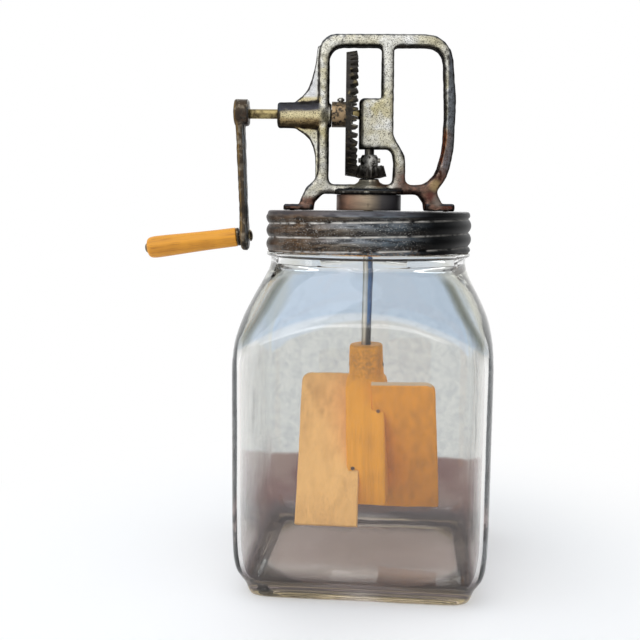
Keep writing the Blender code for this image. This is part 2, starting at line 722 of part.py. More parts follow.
def casting_plate():
    """The flat part of the casting, with rounded edges all round its outline and its windows."""
    curve = bpy.data.curves.new("casting_outline", "CURVE")
    curve.dimensions = "2D"
    curve.fill_mode = "BOTH"
    curve.extrude = FRAME_DEPTH * HALF - FRAME_EDGE
    curve.bevel_depth = FRAME_EDGE
    curve.bevel_resolution = 1
    curve.offset = -FRAME_EDGE
    for outline in frame_outlines():
        spline = curve.splines.new("POLY")
        spline.points.add(len(outline) - 1)
        for point, place in zip(spline.points, outline):
            point.co = (place.x, place.y, 0, 1)
        spline.use_cyclic_u = True
    guide = bpy.data.objects.new("casting_outline", curve)
    bpy.context.scene.collection.objects.link(guide)
    guide.hide_render = True
    guide.display_type = "WIRE"
    graph = bpy.context.evaluated_depsgraph_get()
    mesh = bpy.data.meshes.new_from_object(guide.evaluated_get(graph))
    bm = bmesh.new()
    bm.from_mesh(mesh)
    bpy.data.meshes.remove(mesh)
    bpy.data.objects.remove(guide)
    bmesh.ops.remove_doubles(bm, verts=bm.verts, dist=MERGE)
    bmesh.ops.rotate(bm, cent=(0, 0, 0), matrix=Matrix.Rotation(QUARTER_TURN, 3, "X"), verts=bm.verts)
    return bm


def foot_top(side):
    return FRAME_Z + (LEFT_FOOT_THICKNESS if side < 0 else RIGHT_FOOT_THICKNESS)


def frame_feet():
    feet = []
    for side in (-1, 1):
        ends = sorted((side * FOOT_REACH, side * (FOOT_REACH - FOOT_LENGTH)))
        foot = box((ends[0], -FOOT_DEPTH * HALF, FRAME_Z), (ends[1], FOOT_DEPTH * HALF, foot_top(side)))
        upper = [edge for edge in foot.edges if min(vert.co.z for vert in edge.verts) > FRAME_Z + MERGE
                 or abs(edge.verts[0].co.z - edge.verts[1].co.z) > MERGE]
        feet.append(helper("foot_pad", bevelled(foot, FOOT_ROUND, 2, upper)))
    return feet


def frame_boss():
    """The crank's bearing boss, through the left upright; heights run along +X from the boss's outer end."""
    root = BOSS_END - LEFT_OUTER
    tip = BOSS_END - INNER_BOSS_END
    profile = (
        (0, 0), (BOSS_END_RADIUS - BOSS_ROUND, 0), (BOSS_END_RADIUS, BOSS_ROUND),
        (BOSS_END_RADIUS, root * BOSS_TAPER_SHARE), (BOSS_ROOT_RADIUS, root),
        (BOSS_ROOT_RADIUS, root + FRAME_EDGE), (INNER_BOSS_RADIUS, BOSS_END - LEFT_INNER),
        (INNER_BOSS_RADIUS, tip), (0, tip),
    )
    boss = helper("crank_boss", turned(profile, ROUND_STEPS), facing(ALONG_X))
    boss.location = (-BOSS_END, 0, CRANK_Z - BOSS_DROP)
    return boss


def frame_cone():
    low = FRAME_Z + BASE_UNDERSIDE
    disc_top = low + DISC_THICKNESS
    profile = [(0, low), (DISC_RADIUS, low), (DISC_RADIUS, disc_top)]
    for height_share, radius_share in CONE_SHARES:
        profile.append((DISC_RADIUS * radius_share, disc_top + (CONE_TOP_Z - disc_top) * height_share))
    profile.append((0, CONE_TOP_Z))
    return helper("shaft_cone", turned(profile, FINE_STEPS))


def frame_bores():
    """The two shaft bores, and a stepped hole through each foot for its screw."""
    crank_bore = rod(BORE_RADIUS, 0, BOSS_END + CRANKSHAFT_INNER + SEAT_GAP + OVERRUN)
    dasher_bore = rod(BORE_RADIUS, FRAME_Z, CRANK_Z - SHAFT_RADIUS - SHAFT_TOP_GAP * HALF)
    bores = [
        (crank_bore, Matrix.Translation((-BOSS_END - OVERRUN, 0, CRANK_Z)) @ facing(ALONG_X)),
        (dasher_bore, Matrix()),
    ]
    shank = SCREW_RADIUS + RUNNING_GAP
    head = SCREW_HEAD_RADIUS + RUNNING_GAP
    for side in (-1, 1):
        top = foot_top(side)
        seat = top - SEAT_GAP - SCREW_HEAD_HEIGHT - SEAT_GAP
        hole = turned(
            ((0, FRAME_Z - OVERRUN), (shank, FRAME_Z - OVERRUN), (shank, seat), (head, seat),
             (head, top + OVERRUN), (0, top + OVERRUN)),
            SMALL_STEPS,
        )
        bores.append((hole, Matrix.Translation((side * FOOT_SCREW_X, 0, 0))))
    return helper_group("frame_bores", bores)


def make_frame(iron):
    frame = made_object("gear_frame", casting_plate(), iron)
    add(frame, frame_web(), frame_boss(), frame_cone(), *frame_feet())
    cut(frame, frame_bores())
    return frame


def slot_cutter(radius, top, place):
    reach = radius * SLOT_OVERLENGTH_SHARE
    bm = box((-reach, -SLOT_WIDTH * HALF, top - SLOT_DEPTH), (reach, SLOT_WIDTH * HALF, top + OVERRUN))
    return helper("screw_slot", bm, place)


def make_foot_fasteners(steel):
    nut_top = LID_CEILING_Z - SEAT_GAP
    nut_low = nut_top - NUT_HEIGHT
    bore_radius = SCREW_RADIUS + RUNNING_GAP
    for name, side in (("left", -1), ("right", 1)):
        place = Matrix.Translation((side * FOOT_SCREW_X, 0, 0))
        top = foot_top(side) - SEAT_GAP
        seat = top - SCREW_HEAD_HEIGHT
        shape = headed_rod(SCREW_RADIUS, SCREW_HEAD_RADIUS, nut_low - NUT_TAIL, seat, top)
        screw = made_object("foot_screw_" + name, shape, steel, place)
        cut(screw, slot_cutter(SCREW_HEAD_RADIUS, top, place))
        nut = made_object("foot_nut_" + name, rod(NUT_RADIUS, nut_low, nut_top, NUT_SIDES), steel, place)
        nut_bore = rod(bore_radius, nut_low - OVERRUN, nut_top + OVERRUN, SMALL_STEPS)
        cut(nut, helper("nut_bore", nut_bore, place))


def toothed_ring(teeth, apex, face, addendum, inner, back, phase):
    """A bevel gear's toothed rim about Z: its heel pitch circle is at height 0, its cone's tip at apex."""
    pitch_radius = teeth * MODULE * HALF
    peak = Vector((0, apex))
    along_radius = apex / PITCH_CONE
    along_height = pitch_radius / PITCH_CONE
    root = DEDENDUM_SHARE * MODULE
    rings = []
    for tooth in range(teeth):
        for share, is_tip in TOOTH_SHARES:
            angle = (tooth + share) * FULL_TURN / teeth + phase
            height = addendum if is_tip else -root
            heel = Vector((pitch_radius + height * along_radius, height * along_height))
            toe = heel + (peak - heel) * face / PITCH_CONE
            root_toe = -root * along_height + (apex + root * along_height) * face / PITCH_CONE
            section = (
                (inner, -back), (pitch_radius - root * along_radius, -back), tuple(heel), tuple(toe),
                (inner, root_toe),
            )
            rings.append([(r * math.cos(angle), r * math.sin(angle), z) for r, z in section])
    return ring_loft(rings, closed=True)


def make_drive_gear(iron):
    """Heights run along +X from the heel of the teeth."""
    place = Matrix.Translation((GEAR_HEEL_X, 0, CRANK_Z)) @ Matrix.Rotation(QUARTER_TURN, 4, "Y")
    rim = toothed_ring(
        GEAR_TEETH, PINION_PITCH_RADIUS, GEAR_FACE, GEAR_ADDENDUM_SHARE * MODULE, GEAR_RIM_INNER,
        GEAR_BACKING, 0
    )
    hub_back = -(INNER_BOSS_END - SEAT_GAP + GEAR_HEEL_X)
    web_back = -GEAR_BACKING + GEAR_WEB_RECESS
    web_front = web_back + GEAR_WEB_THICKNESS
    hub_front = web_front + GEAR_HUB_FRONT
    reach = GEAR_RIM_INNER + GEAR_WEB_LAP
    web = (
        (0, hub_back), (GEAR_HUB_RADIUS, hub_back), (GEAR_HUB_RADIUS, web_back), (reach, web_back),
        (reach, web_front), (GEAR_HUB_RADIUS, web_front), (GEAR_HUB_RADIUS, hub_front), (0, hub_front),
    )
    gear = made_object("drive_gear", rim, iron, place)
    add(gear, helper("gear_web", turned(web, ROUND_STEPS), place))
    bore = helper("gear_bore", rod(BORE_RADIUS, hub_back - OVERRUN, hub_front + OVERRUN), place)
    screw_bore = rod(SET_SCREW_RADIUS + RUNNING_GAP, 0, GEAR_HUB_RADIUS + OVERRUN, SMALL_STEPS)
    hole = helper("gear_screw_hole", screw_bore, Matrix.Translation((-SET_SCREW_X, 0, CRANK_Z)))
    cut(gear, bore, hole)
    return gear


def make_gear_screw(steel):
    seat = GEAR_HUB_RADIUS + SEAT_GAP
    top = seat + SET_SCREW_HEAD
    bm = headed_rod(SET_SCREW_RADIUS, SET_SCREW_HEAD_RADIUS, SHAFT_RADIUS + SEAT_GAP, seat, top)
    place = Matrix.Translation((-SET_SCREW_X, 0, CRANK_Z))
    screw = made_object("gear_set_screw", bm, steel, place)
    cut(screw, slot_cutter(SET_SCREW_HEAD_RADIUS, top, place))
    return screw


def make_pinion(iron):
    place = Matrix.Translation((0, 0, PINION_HEEL_Z))
    phase = HALF_TURN + HALF_TURN / PINION_TEETH
    ring = toothed_ring(
        PINION_TEETH, GEAR_PITCH_RADIUS, PINION_FACE, PINION_ADDENDUM_SHARE * MODULE, PINION_RING_INNER,
        PINION_BACKING, phase
    )
    pinion = made_object("pinion", ring, iron, place)
    low = -PINION_BACKING * HALF
    core_top, hub_low = [PINION_TOE * share for share in PINION_CORE_SHARES]
    dome = PINION_TOE + PINION_HUB_HEIGHT * PINION_DOME_SHARE
    core = (
        (0, low), (PINION_CORE_RADIUS, low), (PINION_CORE_RADIUS, core_top), (PINION_HUB_RADIUS, hub_low),
        (PINION_HUB_RADIUS, dome), (PINION_HUB_TOP_RADIUS, PINION_TOP), (0, PINION_TOP),
    )
    add(pinion, helper("pinion_hub", turned(core), place))
    bore = helper("pinion_bore", rod(BORE_RADIUS, -OVERRUN, PINION_TOP + OVERRUN), place)
    cut(pinion, bore, pinion_pin_hole())
    return pinion


def pinion_pin_place():
    return Matrix.Translation((0, 0, PINION_PIN_Z)) @ facing(ALONG_X)


def pinion_pin_hole():
    reach = PINION_PIN_REACH + OVERRUN
    hole = rod(PINION_PIN_RADIUS + RUNNING_GAP, -reach, reach, SMALL_STEPS)
    return helper("pinion_pin_hole", hole, pinion_pin_place())


def make_pinion_pin(steel):
    pin = rod(PINION_PIN_RADIUS, -PINION_PIN_REACH, PINION_PIN_REACH, SMALL_STEPS)
    return made_object("pinion_pin", pin, steel, pinion_pin_place())


def make_crankshaft(steel):
    bm = rod(SHAFT_RADIUS, -CRANK_OUTER, CRANKSHAFT_INNER)
    return made_object("crankshaft", bm, steel, Matrix.Translation((0, 0, CRANK_Z)) @ facing(ALONG_X))


def arm_end(radius, middle, height):
    """A round end of the arm, as an arc about the given middle direction."""
    points = []
    for step in range(ARM_END_STEPS + 1):
        angle = middle + ARM_END_SWEEP * (step / ARM_END_STEPS - HALF)
        points.append(Vector((radius * math.cos(angle), radius * math.sin(angle) + height)))
    return points


def arm_outline():
    """The arm seen along the crankshaft: across is Y, up is Z from the crankshaft."""
    neck = CRANK_HUB_RISE - ARM_HEAD_RADIUS * ARM_NECK_SHARE
    ankle = ARM_TIP_RADIUS * ARM_NECK_SHARE - CRANK_RADIUS
    points = arm_end(ARM_HEAD_RADIUS, QUARTER_TURN, CRANK_HUB_RISE)
    points.append(Vector((-ARM_WAIST * HALF, neck)))
    points.append(Vector((-ARM_TIP_WAIST * HALF, ankle)))
    points += arm_end(ARM_TIP_RADIUS, -QUARTER_TURN, -CRANK_RADIUS)
    points.append(Vector((ARM_TIP_WAIST * HALF, ankle)))
    points.append(Vector((ARM_WAIST * HALF, neck)))
    return points


def make_crank_arm(iron):
    bm = slab(arm_outline(), ARM_THICKNESS)
    bmesh.ops.rotate(bm, cent=(0, 0, 0), matrix=Matrix.Rotation(QUARTER_TURN, 3, "Z"), verts=bm.verts)
    rims = [edge for edge in bm.edges if abs(edge.verts[0].co.x - edge.verts[1].co.x) < MERGE]
    bevelled(bm, ARM_ROUND, 1, rims)
    for vert in bm.verts:
        share = min(1, max(0, -vert.co.z / CRANK_RADIUS))
        vert.co.x *= 1 + (ARM_TIP_THICKNESS / ARM_THICKNESS - 1) * share
        vert.co.x -= vert.co.z * math.tan(ARM_LEAN)
    arm = made_object("crank_arm", bm, iron, Matrix.Translation((ARM_MIDDLE_X, 0, CRANK_Z)))
    hub = ((0, 0), (CRANK_HUB_RADIUS - CRANK_HUB_ROUND, 0), (CRANK_HUB_RADIUS, CRANK_HUB_ROUND),
           (CRANK_HUB_RADIUS, CRANK_HUB_WIDTH - CRANK_HUB_ROUND),
           (CRANK_HUB_RADIUS - CRANK_HUB_ROUND, CRANK_HUB_WIDTH), (0, CRANK_HUB_WIDTH))
    hub_piece = helper("crank_hub", turned(hub), facing(ALONG_X))
    hub_piece.location = (-CRANK_OUTER, 0, CRANK_Z + CRANK_HUB_RISE)
    add(arm, hub_piece)
    bore = helper("crank_hub_bore", rod(BORE_RADIUS, -OVERRUN, CRANK_HUB_WIDTH + OVERRUN), facing(ALONG_X))
    bore.location = (-CRANK_OUTER, 0, CRANK_Z)
    spindle_bore = rod(SPINDLE_RADIUS + RUNNING_GAP, -CRANK_HUB_WIDTH, CRANK_HUB_WIDTH)
    cut(arm, bore, helper("spindle_hole", spindle_bore, grip_place(0)))
    return arm


def grip_place(distance):
    """A place on the grip's axis, at a distance outwards from the arm's middle plane."""
    origin = Vector((GRIP_X, 0, GRIP_Z)) + GRIP_DIRECTION * distance
    return Matrix.Translation(origin) @ facing(GRIP_DIRECTION)


def make_grip(wood):
    rows = [
        ((GRIP_RADIUS + (GRIP_END_RADIUS - GRIP_RADIUS) * swell) * keep, GRIP_LENGTH * along)
        for along, swell, keep in GRIP_SHARES
    ]
    bore = SPINDLE_RADIUS + RUNNING_GAP
    profile = [(bore, 0)] + rows + [(bore, GRIP_LENGTH)]
    return made_object("handle_grip", turned(profile[::-1], ROUND_STEPS), wood, grip_place(GRIP_START))


def rivet_head(radius, height, seat):
    """A low domed head that starts at seat; a negative height points it the other way."""
    edge = seat + height * RIVET_EDGE_SHARE
    return [(radius, seat), (radius, edge), (radius * RIVET_CROWN_SHARE, seat + height), (0, seat + height)]


def make_spindle(steel):
    """A plain rod with a rivet head against the arm's inner face and one at the grip's outer end."""
    outer_face = GRIP_START + GRIP_LENGTH + SEAT_GAP
    inner_head = rivet_head(RIVET_RADIUS, -RIVET_HEIGHT, -RIVET_SEAT)
    outer_head = rivet_head(OUTER_RIVET_RADIUS, OUTER_RIVET_HEIGHT, outer_face)
    profile = inner_head[::-1] + [(SPINDLE_RADIUS, -RIVET_SEAT), (SPINDLE_RADIUS, outer_face)] + outer_head
    return made_object("handle_spindle", turned(profile, ROUND_STEPS), steel, grip_place(0))


def make_grip_washer(steel):
    profile = ring_profile(SPINDLE_RADIUS + RUNNING_GAP, GRIP_WASHER_RADIUS, 0, GRIP_WASHER_THICKNESS)
    return made_object("grip_washer", turned(profile), steel, grip_place(WASHER_START))


def dasher_place():
    """The wooden dasher sits slightly crooked on its shaft."""
    pivot = Matrix.Translation((0, 0, LEAN_PIVOT_Z))
    lean = pivot @ Matrix.Rotation(-DASHER_LEAN, 4, "Y") @ pivot.inverted()
    return lean @ Matrix.Rotation(DASHER_TURN, 4, "Z")


def neck_pin_place():
    return dasher_place() @ Matrix.Translation((0, 0, NECK_PIN_Z)) @ facing(ALONG_X)


def make_dasher_shaft(steel):
    top = CRANK_Z - SHAFT_RADIUS - SHAFT_TOP_GAP
    shaft = made_object("dasher_shaft", rod(SHAFT_RADIUS, SHAFT_BOTTOM_Z, top), steel)
    cut(shaft, neck_pin_hole(), pinion_pin_hole())
    return shaft


def neck_pin_hole():
    reach = DASHER_NECK_RADIUS + OVERRUN
    hole = rod(NECK_PIN_RADIUS + RUNNING_GAP, -reach, reach, SMALL_STEPS)
    return helper("neck_pin_hole", hole, neck_pin_place())


def paddle_place(side):
    """The left paddle leans back at its top, the right one forwards."""
    crossing = Matrix.Translation((0, 0, PADDLE_CROSS_Z))
    return dasher_place() @ crossing @ Matrix.Rotation(side * PADDLE_TILT, 4, "X")


def nail_places():
    """Each nail's name, the side of its board, and its place, with +Z into the wood."""
    face = HUB_WIDTH * HALF
    rows = (
        ("paddle_nail_1", 1, -1, NAIL_HIGH_Z), ("paddle_nail_2", -1, -1, NAIL_LOW_Z),
        ("paddle_nail_3", -1, 1, NAIL_HIGH_Z), ("paddle_nail_4", 1, 1, NAIL_LOW_Z),
    )
    for name, side, front, height in rows:
        place = Matrix.Translation((side * NAIL_OUT, front * face, height)) @ facing((0, -front, 0))
        yield name, side, dasher_place() @ place


def nail_holes(side=None):
    holes = []
    for name, board, place in nail_places():
        if side in (None, board):
            hole = rod(NAIL_RADIUS + WOOD_GAP, -OVERRUN, NAIL_LENGTH + SEAT_GAP, SMALL_STEPS)
            holes.append(helper(name + "_hole", hole, place))
    return holes


def make_dasher_hub(wood):
    """A square block whose top is turned down to a round neck."""
    profile = (
        (0, HUB_BOTTOM_Z), (HUB_TURNED_RADIUS, HUB_BOTTOM_Z),
        (HUB_TURNED_RADIUS, HUB_SHOULDER_Z - HUB_EDGE),
        (DASHER_NECK_RADIUS + DASHER_NECK_FLARE, NECK_FOOT_Z),
        (DASHER_NECK_RADIUS, HUB_TOP_Z - HUB_EDGE), (DASHER_NECK_RADIUS - HUB_EDGE, HUB_TOP_Z),
        (0, HUB_TOP_Z),
    )
    hub = made_object("dasher_hub", turned(profile, FINE_STEPS), wood, dasher_place())
    half = HUB_WIDTH * HALF
    square = box((-half, -half, HUB_BOTTOM_Z - OVERRUN), (half, half, HUB_TOP_Z + OVERRUN))
    upright = [edge for edge in square.edges if abs(edge.verts[0].co.z - edge.verts[1].co.z) > MERGE]
    combine(hub, helper("hub_square", bevelled(square, HUB_EDGE, 1, upright), dasher_place()), "INTERSECT")
    for side in (-1, 1):
        thick = PADDLE_THICKNESS * HALF + WOOD_GAP
        ends = sorted((side * (PADDLE_INNER - WOOD_GAP), side * (half + OVERRUN)))
        slot = box((ends[0], -thick, -PADDLE_BELOW), (ends[1], thick, PADDLE_BELOW))
        cut(hub, helper("paddle_slot", slot, paddle_place(side)))
    bore = helper("hub_bore", rod(BORE_RADIUS, SHAFT_BOTTOM_Z - SEAT_GAP, HUB_TOP_Z + OVERRUN))
    cut(hub, bore, neck_pin_hole(), *nail_holes())
    return hub


def make_paddles(woods):
    for name, side in (("paddle_left", -1), ("paddle_right", 1)):
        outline = rounded([
            (side * PADDLE_INNER, -PADDLE_BELOW, 0), (side * PADDLE_INNER, PADDLE_ABOVE, 0),
            (side * PADDLE_REACH, PADDLE_ABOVE, PADDLE_CORNER),
            (side * PADDLE_REACH, -PADDLE_BELOW, PADDLE_FOOT_CORNER),
        ])
        bm = slab(outline, PADDLE_THICKNESS)
        rims = [edge for edge in bm.edges if abs(edge.verts[0].co.y - edge.verts[1].co.y) < MERGE]
        paddle = made_object(name, bevelled(bm, PADDLE_EDGE, 1, rims), woods[side], paddle_place(side))
        cut(paddle, *nail_holes(side))


def make_nails(steel):
    for name, side, place in nail_places():
        head_top = -SEAT_GAP - NAIL_HEAD
        profile = (
            (0, NAIL_LENGTH), (NAIL_RADIUS * HALF, NAIL_LENGTH), (NAIL_RADIUS, NAIL_LENGTH - NAIL_RADIUS),
            (NAIL_RADIUS, -SEAT_GAP), (NAIL_HEAD_RADIUS, -SEAT_GAP), (NAIL_HEAD_RADIUS, head_top),
            (0, head_top),
        )
        made_object(name, turned(profile, SMALL_STEPS), steel, place)


def make_neck_pin(steel):
    reach = DASHER_NECK_RADIUS + NECK_PIN_PROUD
    made_object("neck_pin", rod(NECK_PIN_RADIUS, -reach, reach, SMALL_STEPS), steel, neck_pin_place())


def turn_head():
    """The lid is screwed on until its frame stands slightly round from the jar's front."""
    for made in bpy.data.objects:
        if made.name != "jar":
            made.matrix_world = HEAD_PLACE @ made.matrix_world


def main():
    clear_scene()
    zinc = dull_zinc()
    iron = worn_iron()
    dark = dark_iron()
    steel = oily_steel()
    boards = {
        -1: board_wood("pale_board", (0.72, 0.5, 0.27)),
        1: board_wood("warm_board", (0.62, 0.36, 0.13)),
    }
    make_jar(clear_glass())
    make_lid(zinc)
    make_gasket(cork_seal())
    make_collar(zinc)
    make_frame(iron)
    make_foot_fasteners(steel)
    make_drive_gear(dark)
    make_gear_screw(steel)
    make_pinion(dark)
    make_pinion_pin(steel)
    make_crankshaft(steel)
    make_crank_arm(dark)
    make_spindle(steel)
    make_grip_washer(dark)
    make_grip(grip_wood())
    make_dasher_shaft(steel)
    make_dasher_hub(hub_wood())
    make_paddles(boards)
    make_nails(steel)
    make_neck_pin(steel)
    bpy.context.view_layer.update()
    turn_head()


main()
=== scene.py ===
"""The looks of a butter churn: moulded glass, tarnished zinc, worn iron and old wood.

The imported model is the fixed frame. Each piece is built over its node in that frame, in metres,
and rides on the node's body. +Z is up, -Y is the jar's front, and the crank hangs at -X.
"""

import json
import math
from functools import cached_property

import bmesh
import bpy
import numpy as np
from bpy.props import FloatProperty, FloatVectorProperty, PointerProperty
from mathutils import Matrix, Vector, noise


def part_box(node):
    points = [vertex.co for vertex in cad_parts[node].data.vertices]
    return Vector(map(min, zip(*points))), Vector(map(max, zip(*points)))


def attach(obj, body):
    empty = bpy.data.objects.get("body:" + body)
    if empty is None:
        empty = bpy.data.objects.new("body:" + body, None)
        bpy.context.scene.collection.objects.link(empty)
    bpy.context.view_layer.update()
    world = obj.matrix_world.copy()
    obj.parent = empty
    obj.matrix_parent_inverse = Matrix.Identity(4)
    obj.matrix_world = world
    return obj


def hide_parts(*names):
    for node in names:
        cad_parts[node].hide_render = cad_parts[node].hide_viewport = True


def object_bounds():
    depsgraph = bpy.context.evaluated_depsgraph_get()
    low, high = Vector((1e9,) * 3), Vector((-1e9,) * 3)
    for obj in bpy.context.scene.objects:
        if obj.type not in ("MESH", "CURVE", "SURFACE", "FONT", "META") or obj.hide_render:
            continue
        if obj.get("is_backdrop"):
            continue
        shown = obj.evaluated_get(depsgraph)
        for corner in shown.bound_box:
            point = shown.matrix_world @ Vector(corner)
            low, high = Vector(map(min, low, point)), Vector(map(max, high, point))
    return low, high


bl_info = {
    "name": "Butter churn",
    "version": (1, 0, 0),
    "blender": (4, 5, 0),
    "location": "3D View > Sidebar > Churn",
    "description": "Glass, metal and wood for a hand cranked churn",
    "category": "Add Mesh",
}

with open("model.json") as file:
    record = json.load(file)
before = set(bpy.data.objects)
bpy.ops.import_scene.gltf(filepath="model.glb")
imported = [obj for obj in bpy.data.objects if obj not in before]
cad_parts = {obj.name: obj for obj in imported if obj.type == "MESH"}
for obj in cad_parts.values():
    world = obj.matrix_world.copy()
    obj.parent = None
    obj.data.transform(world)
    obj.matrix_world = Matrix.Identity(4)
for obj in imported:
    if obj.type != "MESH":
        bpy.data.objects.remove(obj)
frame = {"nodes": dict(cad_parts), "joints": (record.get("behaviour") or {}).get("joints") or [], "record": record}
CAD_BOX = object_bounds()

MM = 0.001
HALF = 0.5
FULL_TURN = 2 * math.pi
UP = Vector((0, 0, 1))
MERGE = 0.001 * MM
SHARP = math.radians(30)
FLAT = math.radians(0.5)
SPINDLE_STEPS = 32
SHAFT_STEPS = 64
ROUND_STEPS = 96

# Axes and heights that the frame fixes
JOINTS = {joint["name"]: joint for joint in frame["joints"]}
BODY_OF = {
    node: body for body, nodes in frame["record"]["behaviour"]["bodies"].items() for node in nodes
}
CRANK_AXIS = Vector(JOINTS["crank_turn"]["axis"])
CRANK_CENTRE = Vector(JOINTS["crank_turn"]["pos_m"])
GRIP_AXIS = Vector(JOINTS["grip_turn"]["axis"])
GRIP_CENTRE = Vector(JOINTS["grip_turn"]["pos_m"])
HEAD_TURN = Matrix.Rotation(math.atan2(CRANK_AXIS.y, CRANK_AXIS.x), 4, "Z")
JAR_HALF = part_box("jar")[1].x
JAR_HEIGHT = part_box("jar")[1].z
LID_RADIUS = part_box("lid")[1].x
LID_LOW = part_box("lid")[0].z
LID_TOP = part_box("lid")[1].z

# Glass of the jar
JAR_STEPS = 256
JAR_REACH = 102.2 * MM
JAR_WALL = 4.75 * MM
JAR_FLOOR = 8.6 * MM
FOOT_HEIGHT = 60.0 * MM
FOOT_INSET = 10.2 * MM
FOOT_ROUND = 2.0 * MM
PUSH_UP = 1.3 * MM
PUSH_UP_EDGE = 9.0 * MM
SHOULDER_START = 135.0 * MM
NECK_START = 197.0 * MM
# Height of the bend where the painted shoulder reflection and highlight start
BEND_MIDDLE = 167.5 * MM
BEND_DROP = 27.0 * MM
BEND_BACK_DROP = 21.0 * MM
BEAD_LOW = 200.0 * MM
NECK_FOOT_RADIUS = 61.4 * MM
NECK_RADIUS = 59.8 * MM
NECK_WALL = 4.0 * MM
NECK_ROWS = 24
NECK_GAP = 0.6 * MM
LIP_ROUND = 1.6 * MM
LIP_STEPS = 4
BEAD_RADIUS = 64.3 * MM
BEAD_HEIGHT = 3.4 * MM
BEAD_RISE = 5.6 * MM
BEAD_STEPS = 10
GLASS_THREAD = 1.4 * MM
GLASS_THREAD_LOW = 210.0 * MM
GLASS_THREAD_HIGH = 222.0 * MM
GLASS_WAVE = 0.16 * MM
GLASS_WAVE_LENGTH = 26.0 * MM
ROWS_PER_STRETCH = 4
FLOOR_SHARES = (0.9, 0.75, 0.5, 0.25, 0)
FOOT_SHARES = (
    (0.0, 1.0), (0.025, 0.873), (0.125, 0.676), (0.2, 0.431), (0.267, 0.235), (0.358, 0.108),
    (0.5, 0.039), (0.75, 0.005), (1.0, 0.0),
)
INNER_FOOT_SHARES = (
    (0.0, 1.0), (0.02, 0.75), (0.06, 0.5), (0.13, 0.28), (0.25, 0.12), (0.45, 0.03), (0.75, 0.005),
    (1.0, 0.0),
)
SHOULDER_SHARES = (
    (0.0, 0.0, 0.0), (0.16, 0.0, 0.03), (0.274, 0.0, 0.085), (0.371, 0.01, 0.185),
    (0.484, 0.09, 0.33), (0.581, 0.24, 0.45), (0.677, 0.43, 0.56), (0.758, 0.61, 0.65),
    (0.823, 0.75, 0.73), (0.887, 0.87, 0.83), (0.952, 0.965, 0.94), (1.0, 1.0, 1.0),
)

# Sheet metal of the lid and the collar
LID_STEPS = 256
LID_ROWS = 64
LID_SHEET = 0.8 * MM
LID_WAVE = 0.95 * MM
LID_CORNER = 1.8 * MM
LID_OUTER_STEPS = 6
LID_INNER_STEPS = 4
LID_HOLE = 3.6 * MM
LID_TOP_SHARES = (0.85, 0.6, 0.3)
LID_SIDE_SHARE = 0.97
THREAD_PITCH = 8.4 * MM
THREAD_CREST = 221.0 * MM
THREAD_FADE = 1.6 * MM
THREAD_FLATNESS_SHARE = 0.42
GROOVE_SHARE = 0.06
LID_UNEVEN = 0.22 * MM
LID_UNEVEN_LENGTH = 24.0 * MM
DENT_ANGLE = math.radians(-28)
DENT_WIDTH = math.radians(9)
DENT_DEPTH = 1.0 * MM
DENT_HEIGHT = 5.0 * MM
COLLAR_WALL = 1.2 * MM
RING_ROUND = 0.3 * MM
VENT_HOLE = 0.9 * MM
VENT_HOLE_SHARE = 0.3
VENT_INSET = 0.15 * MM
VENT_DEPTH_SHARE = 0.8

# Soft skins of the casting, the forging and the block: voxel, rounds of smoothing and relief
SKINS = {
    "gear_frame": (0.55 * MM, 5, 0.16 * MM),
    "crank_arm": (0.5 * MM, 6, 0.16 * MM),
    "dasher_hub": (0.5 * MM, 4, 0.04 * MM),
}
RELIEF_LENGTHS = (3.2 * MM, 3 * 3.2 * MM)
PROUDNESS_STEPS = 8
PROUDNESS_DEPTH = 0.35 * MM

# Turned pieces and nails
SHAFT_ROUND = 0.4 * MM
NAIL_SHARE = 0.7
SPINDLE_RADIUS = 2.3 * MM
SPINDLE_INNER_HEAD = 1.9 * MM
SPINDLE_OUTER_HEAD = 1.6 * MM
SPINDLE_OUTER_RADIUS = 3.1 * MM
RIVET_STEPS = 9
GRIP_BORE = 2.45 * MM
GRIP_STEPS = 4
GRIP_SHARES = (
    (0.0, 0.8), (0.008, 0.85), (0.03, 0.865), (0.25, 0.872), (0.5, 0.915), (0.72, 0.97),
    (0.86, 0.998), (0.93, 0.985), (0.97, 0.92), (0.99, 0.8), (1.0, 0.64),
)

# Runs of tones from low to high or from left to right
# Rim of the jar's foot: mauve brown with a painted yellow highlight near the floor and a painted dark band of
# shade above it
FOOT_TONES_AND_LIGHT = ((0.0, "#8A7854"), (0.1, "#C9B584"), (0.2, "#3E332C"), (0.5, "#4E3C3E"), (1.0, "#75635E"))
# Lid from left to right: brown, then grey, then painted shade to near black on the right
LID_TONES_AND_SHADE = (
    (0.0, "#38281A"), (0.2, "#5E4730"), (0.42, "#6A635A"), (0.6, "#515A61"), (0.74, "#262B2E"),
    (1.0, "#0E1011"),
)
# Collar from left to right: brown, a painted pale highlight at the middle, then painted shade to near black on the
# right
COLLAR_TONES_AND_LIGHT = (
    (0.0, "#8A5E3C"), (0.2, "#BE8A60"), (0.52, "#EED4AC"), (0.72, "#6B665E"), (0.88, "#2A2B2B"),
    (1.0, "#1C1D1E"),
)
# Round the boss by which way it faces: painted shade below, a painted pale highlight at the middle and dark
# blue-black above
BOSS_LIGHT_AND_SHADE_TONES = (
    (0.04, "#2C221A"), (0.28, "#9A845C"), (0.46, "#D8CBA0"), (0.58, "#B3A888"), (0.7, "#414147"),
    (1.0, "#22242A"),
)
# Disc from left to right: a painted highlight left of the middle, then painted shade
DISC_LIGHT_AND_SHADE_TONES = ((0.0, "#4E5052"), (0.35, "#9B9FA1"), (1.0, "#24272A"))
# Dome from left to right: a painted pale highlight, then painted shade in brown on the right
DOME_LIGHT_AND_SHADE_TONES = ((0.0, "#B9AE8E"), (0.5, "#DDD7C4"), (0.75, "#8A7058"), (1.0, "#5E4638"))
